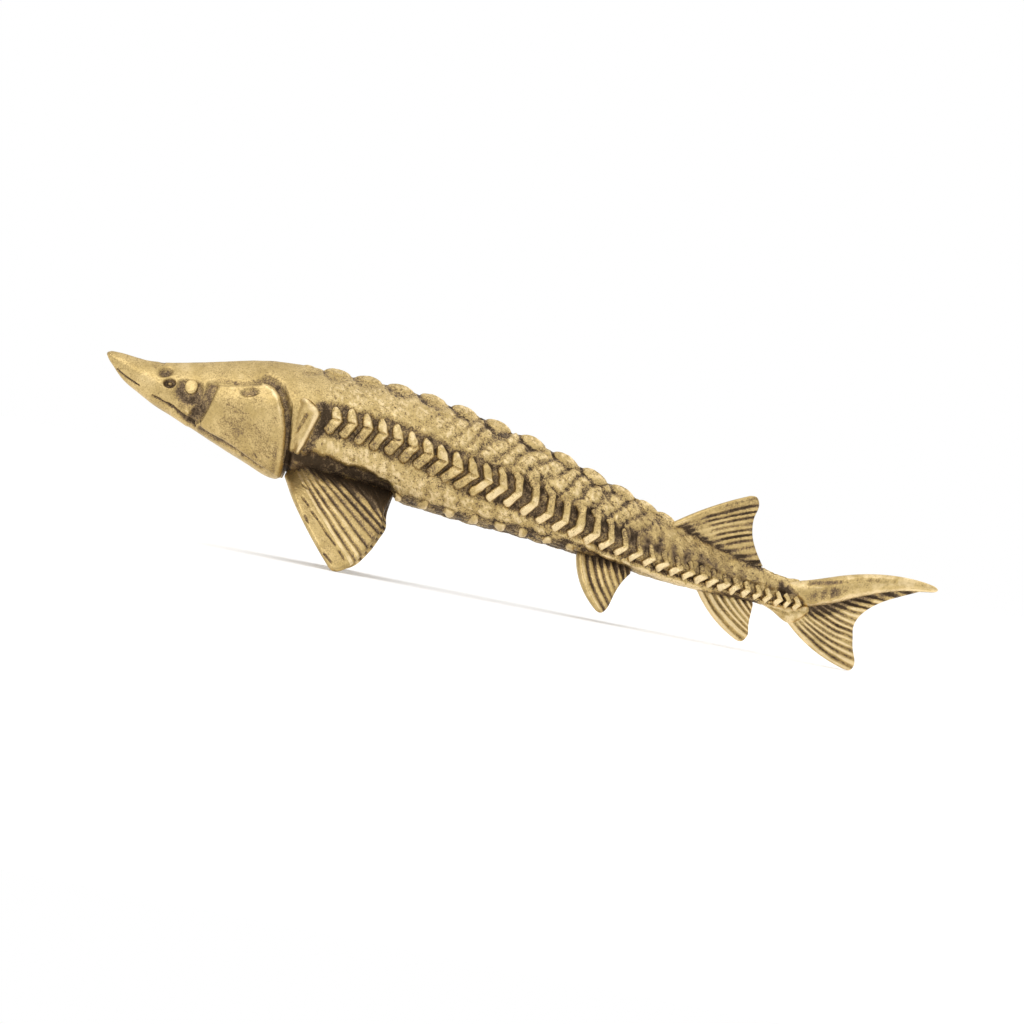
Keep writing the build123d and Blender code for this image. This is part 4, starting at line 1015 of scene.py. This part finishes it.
ROOT_TOP = [(30.3, 6.0), (32.2, 6.1), (34.0, 6.3), (35.6, 6.6)]
ROOT_BOTTOM = [(30.3, 5.6), (31.6, 5.1), (33.65, 4.12), (35.75, 5.75)]
ROOT_FOLD = [(31.3, 5.45), (33.2, 5.15), (34.6, 5.75)]
ROOT_SQUARE = 0.7
root_width = curve([(0, 1.2), (0.4, 1.25), (0.8, 1.12), (1, 0.8)])


def tail_root():
    """Rounded wedge: rings between an upper and a lower line of the side view with nearly flat sides."""
    u = np.linspace(0, 1, 60)
    high, low = edge_line(ROOT_TOP, u)[:, None], edge_line(ROOT_BOTTOM, u)[:, None]
    wide = (root_width(u) * np.sqrt(np.clip(u / 0.08, 0, 1)))[:, None]
    angle = np.linspace(0, 2 * np.pi, 48, endpoint=False)[None, :]
    side = (high + low) / 2 + (high - low) / 2 * blunted(np.cos(angle), ROOT_SQUARE)[..., None]
    x, z = side[..., 0], side[..., 1]
    worked = ripple(x, z, 0.8, 64) + 0.6 * ripple(x, z, 0.35, 65)
    fold = 1 - ease(0.03, 0.16, stroke(x, z, ROOT_FOLD) + 0.05 * worked)
    y = -wide * blunted(np.sin(angle), ROOT_SQUARE) * (1 + 0.03 * worked) * (1 - 0.12 * fold)
    # painted shade along the top, at the rear end and in the fold
    recess = 0.03 + 0.5 * ease(0.93, 1.0, u)[:, None] + 0.4 * ease(0.7, 1.0, np.cos(angle))
    recess = recess + 0.1 * worked + 0.4 * fold
    points, recess = close_ends(np.stack([x, y, z], axis=-1), recess)
    cast("tail_fin_root", "tail_fin", points, recess, smooth_brass)


tail_root()


# Studio: a pale paper floor in a white surround that is brightest overhead, with one large soft light high
# on the left and a weaker one behind.
floor_mesh = bpy.data.meshes.new("floor")
floor_mesh.from_pydata([(-8, -8, 0), (8, -8, 0), (8, 8, 0), (-8, 8, 0)], [], [(0, 1, 2, 3)])
floor = bpy.data.objects.new("floor", floor_mesh)
bpy.context.scene.collection.objects.link(floor)
paper = bpy.data.materials.new("pale paper")
paper.use_nodes = True
feed(paper.node_tree, paper.node_tree.nodes["Principled BSDF"], {
    "Base Color": (0.93, 0.93, 0.93, 1), "Roughness": 0.8, "Emission Color": (1, 1, 1, 1),
    "Emission Strength": 0.15})
floor_mesh.materials.append(paper)

world = bpy.data.worlds.new("white surround")
bpy.context.scene.world = world
world.use_nodes = True
sky = world.node_tree
facing = shader_node(sky, "TexCoord", {})
split = shader_node(sky, "SeparateXYZ", {"Vector": facing.outputs["Generated"]})
tent = shader_node(sky, "MapRange", {"Value": split.outputs["Z"], "From Min": -0.2, "To Min": 0.55,
                                     "To Max": 1.15})
seen = shader_node(sky, "LightPath", {})
level = shader_node(sky, "Mix", {"Factor": seen.outputs["Is Camera Ray"], "A": tent.outputs["Result"],
                                 "B": 1.0})
feed(sky, sky.nodes["Background"], {"Color": (1, 1, 1, 1), "Strength": level.outputs["Result"]})


def stance(right, up, away, place):
    """Object matrix from its three axes and its place, as the columns that Blender takes."""
    matrix = np.eye(4)
    matrix[:3] = np.stack([right, up, away, place], axis=1)
    return matrix.T.tolist()


def soft_light(name, place, aim, size, power):
    """Square soft light at place, facing aim."""
    lamp = bpy.data.lights.new(name, "AREA")
    lamp.size = size
    lamp.energy = power
    light = bpy.data.objects.new(name, lamp)
    away = np.array(place, float) - np.array(aim, float)
    away /= np.linalg.norm(away)
    right = np.cross((0, 0, 1), away)
    right /= np.linalg.norm(right)
    light.matrix_world = stance(right, np.cross(away, right), away, place)
    bpy.context.scene.collection.objects.link(light)


soft_light("key softbox", (-0.3, -0.4, 0.45), (0, 0, 0.01), 0.4, 0.9)
soft_light("rear softbox", (0.3, 0.4, 0.4), (0, 0, 0.01), 0.4, 0.5)

# Camera: side view of the left flank, tilted so that the fish slopes down to the right as in the photograph.
# Its long lens keeps the view nearly parallel, and it stands where the picture is as wide as VIEW_WIDTH.
TILT = np.radians(11.2)
LENS, SENSOR, VIEW_WIDTH = 150, 36, 0.1189
camera_data = bpy.data.cameras.new("camera")
camera_data.lens = LENS
camera_data.sensor_width = SENSOR
camera = bpy.data.objects.new("camera", camera_data)
camera.matrix_world = stance((np.cos(TILT), 0, np.sin(TILT)), (-np.sin(TILT), 0, np.cos(TILT)), (0, -1, 0),
                             (-0.00028, -VIEW_WIDTH * LENS / SENSOR, 0.01053))
bpy.context.scene.collection.objects.link(camera)
bpy.context.scene.camera = camera
bpy.context.scene.view_settings.view_transform = "Standard"
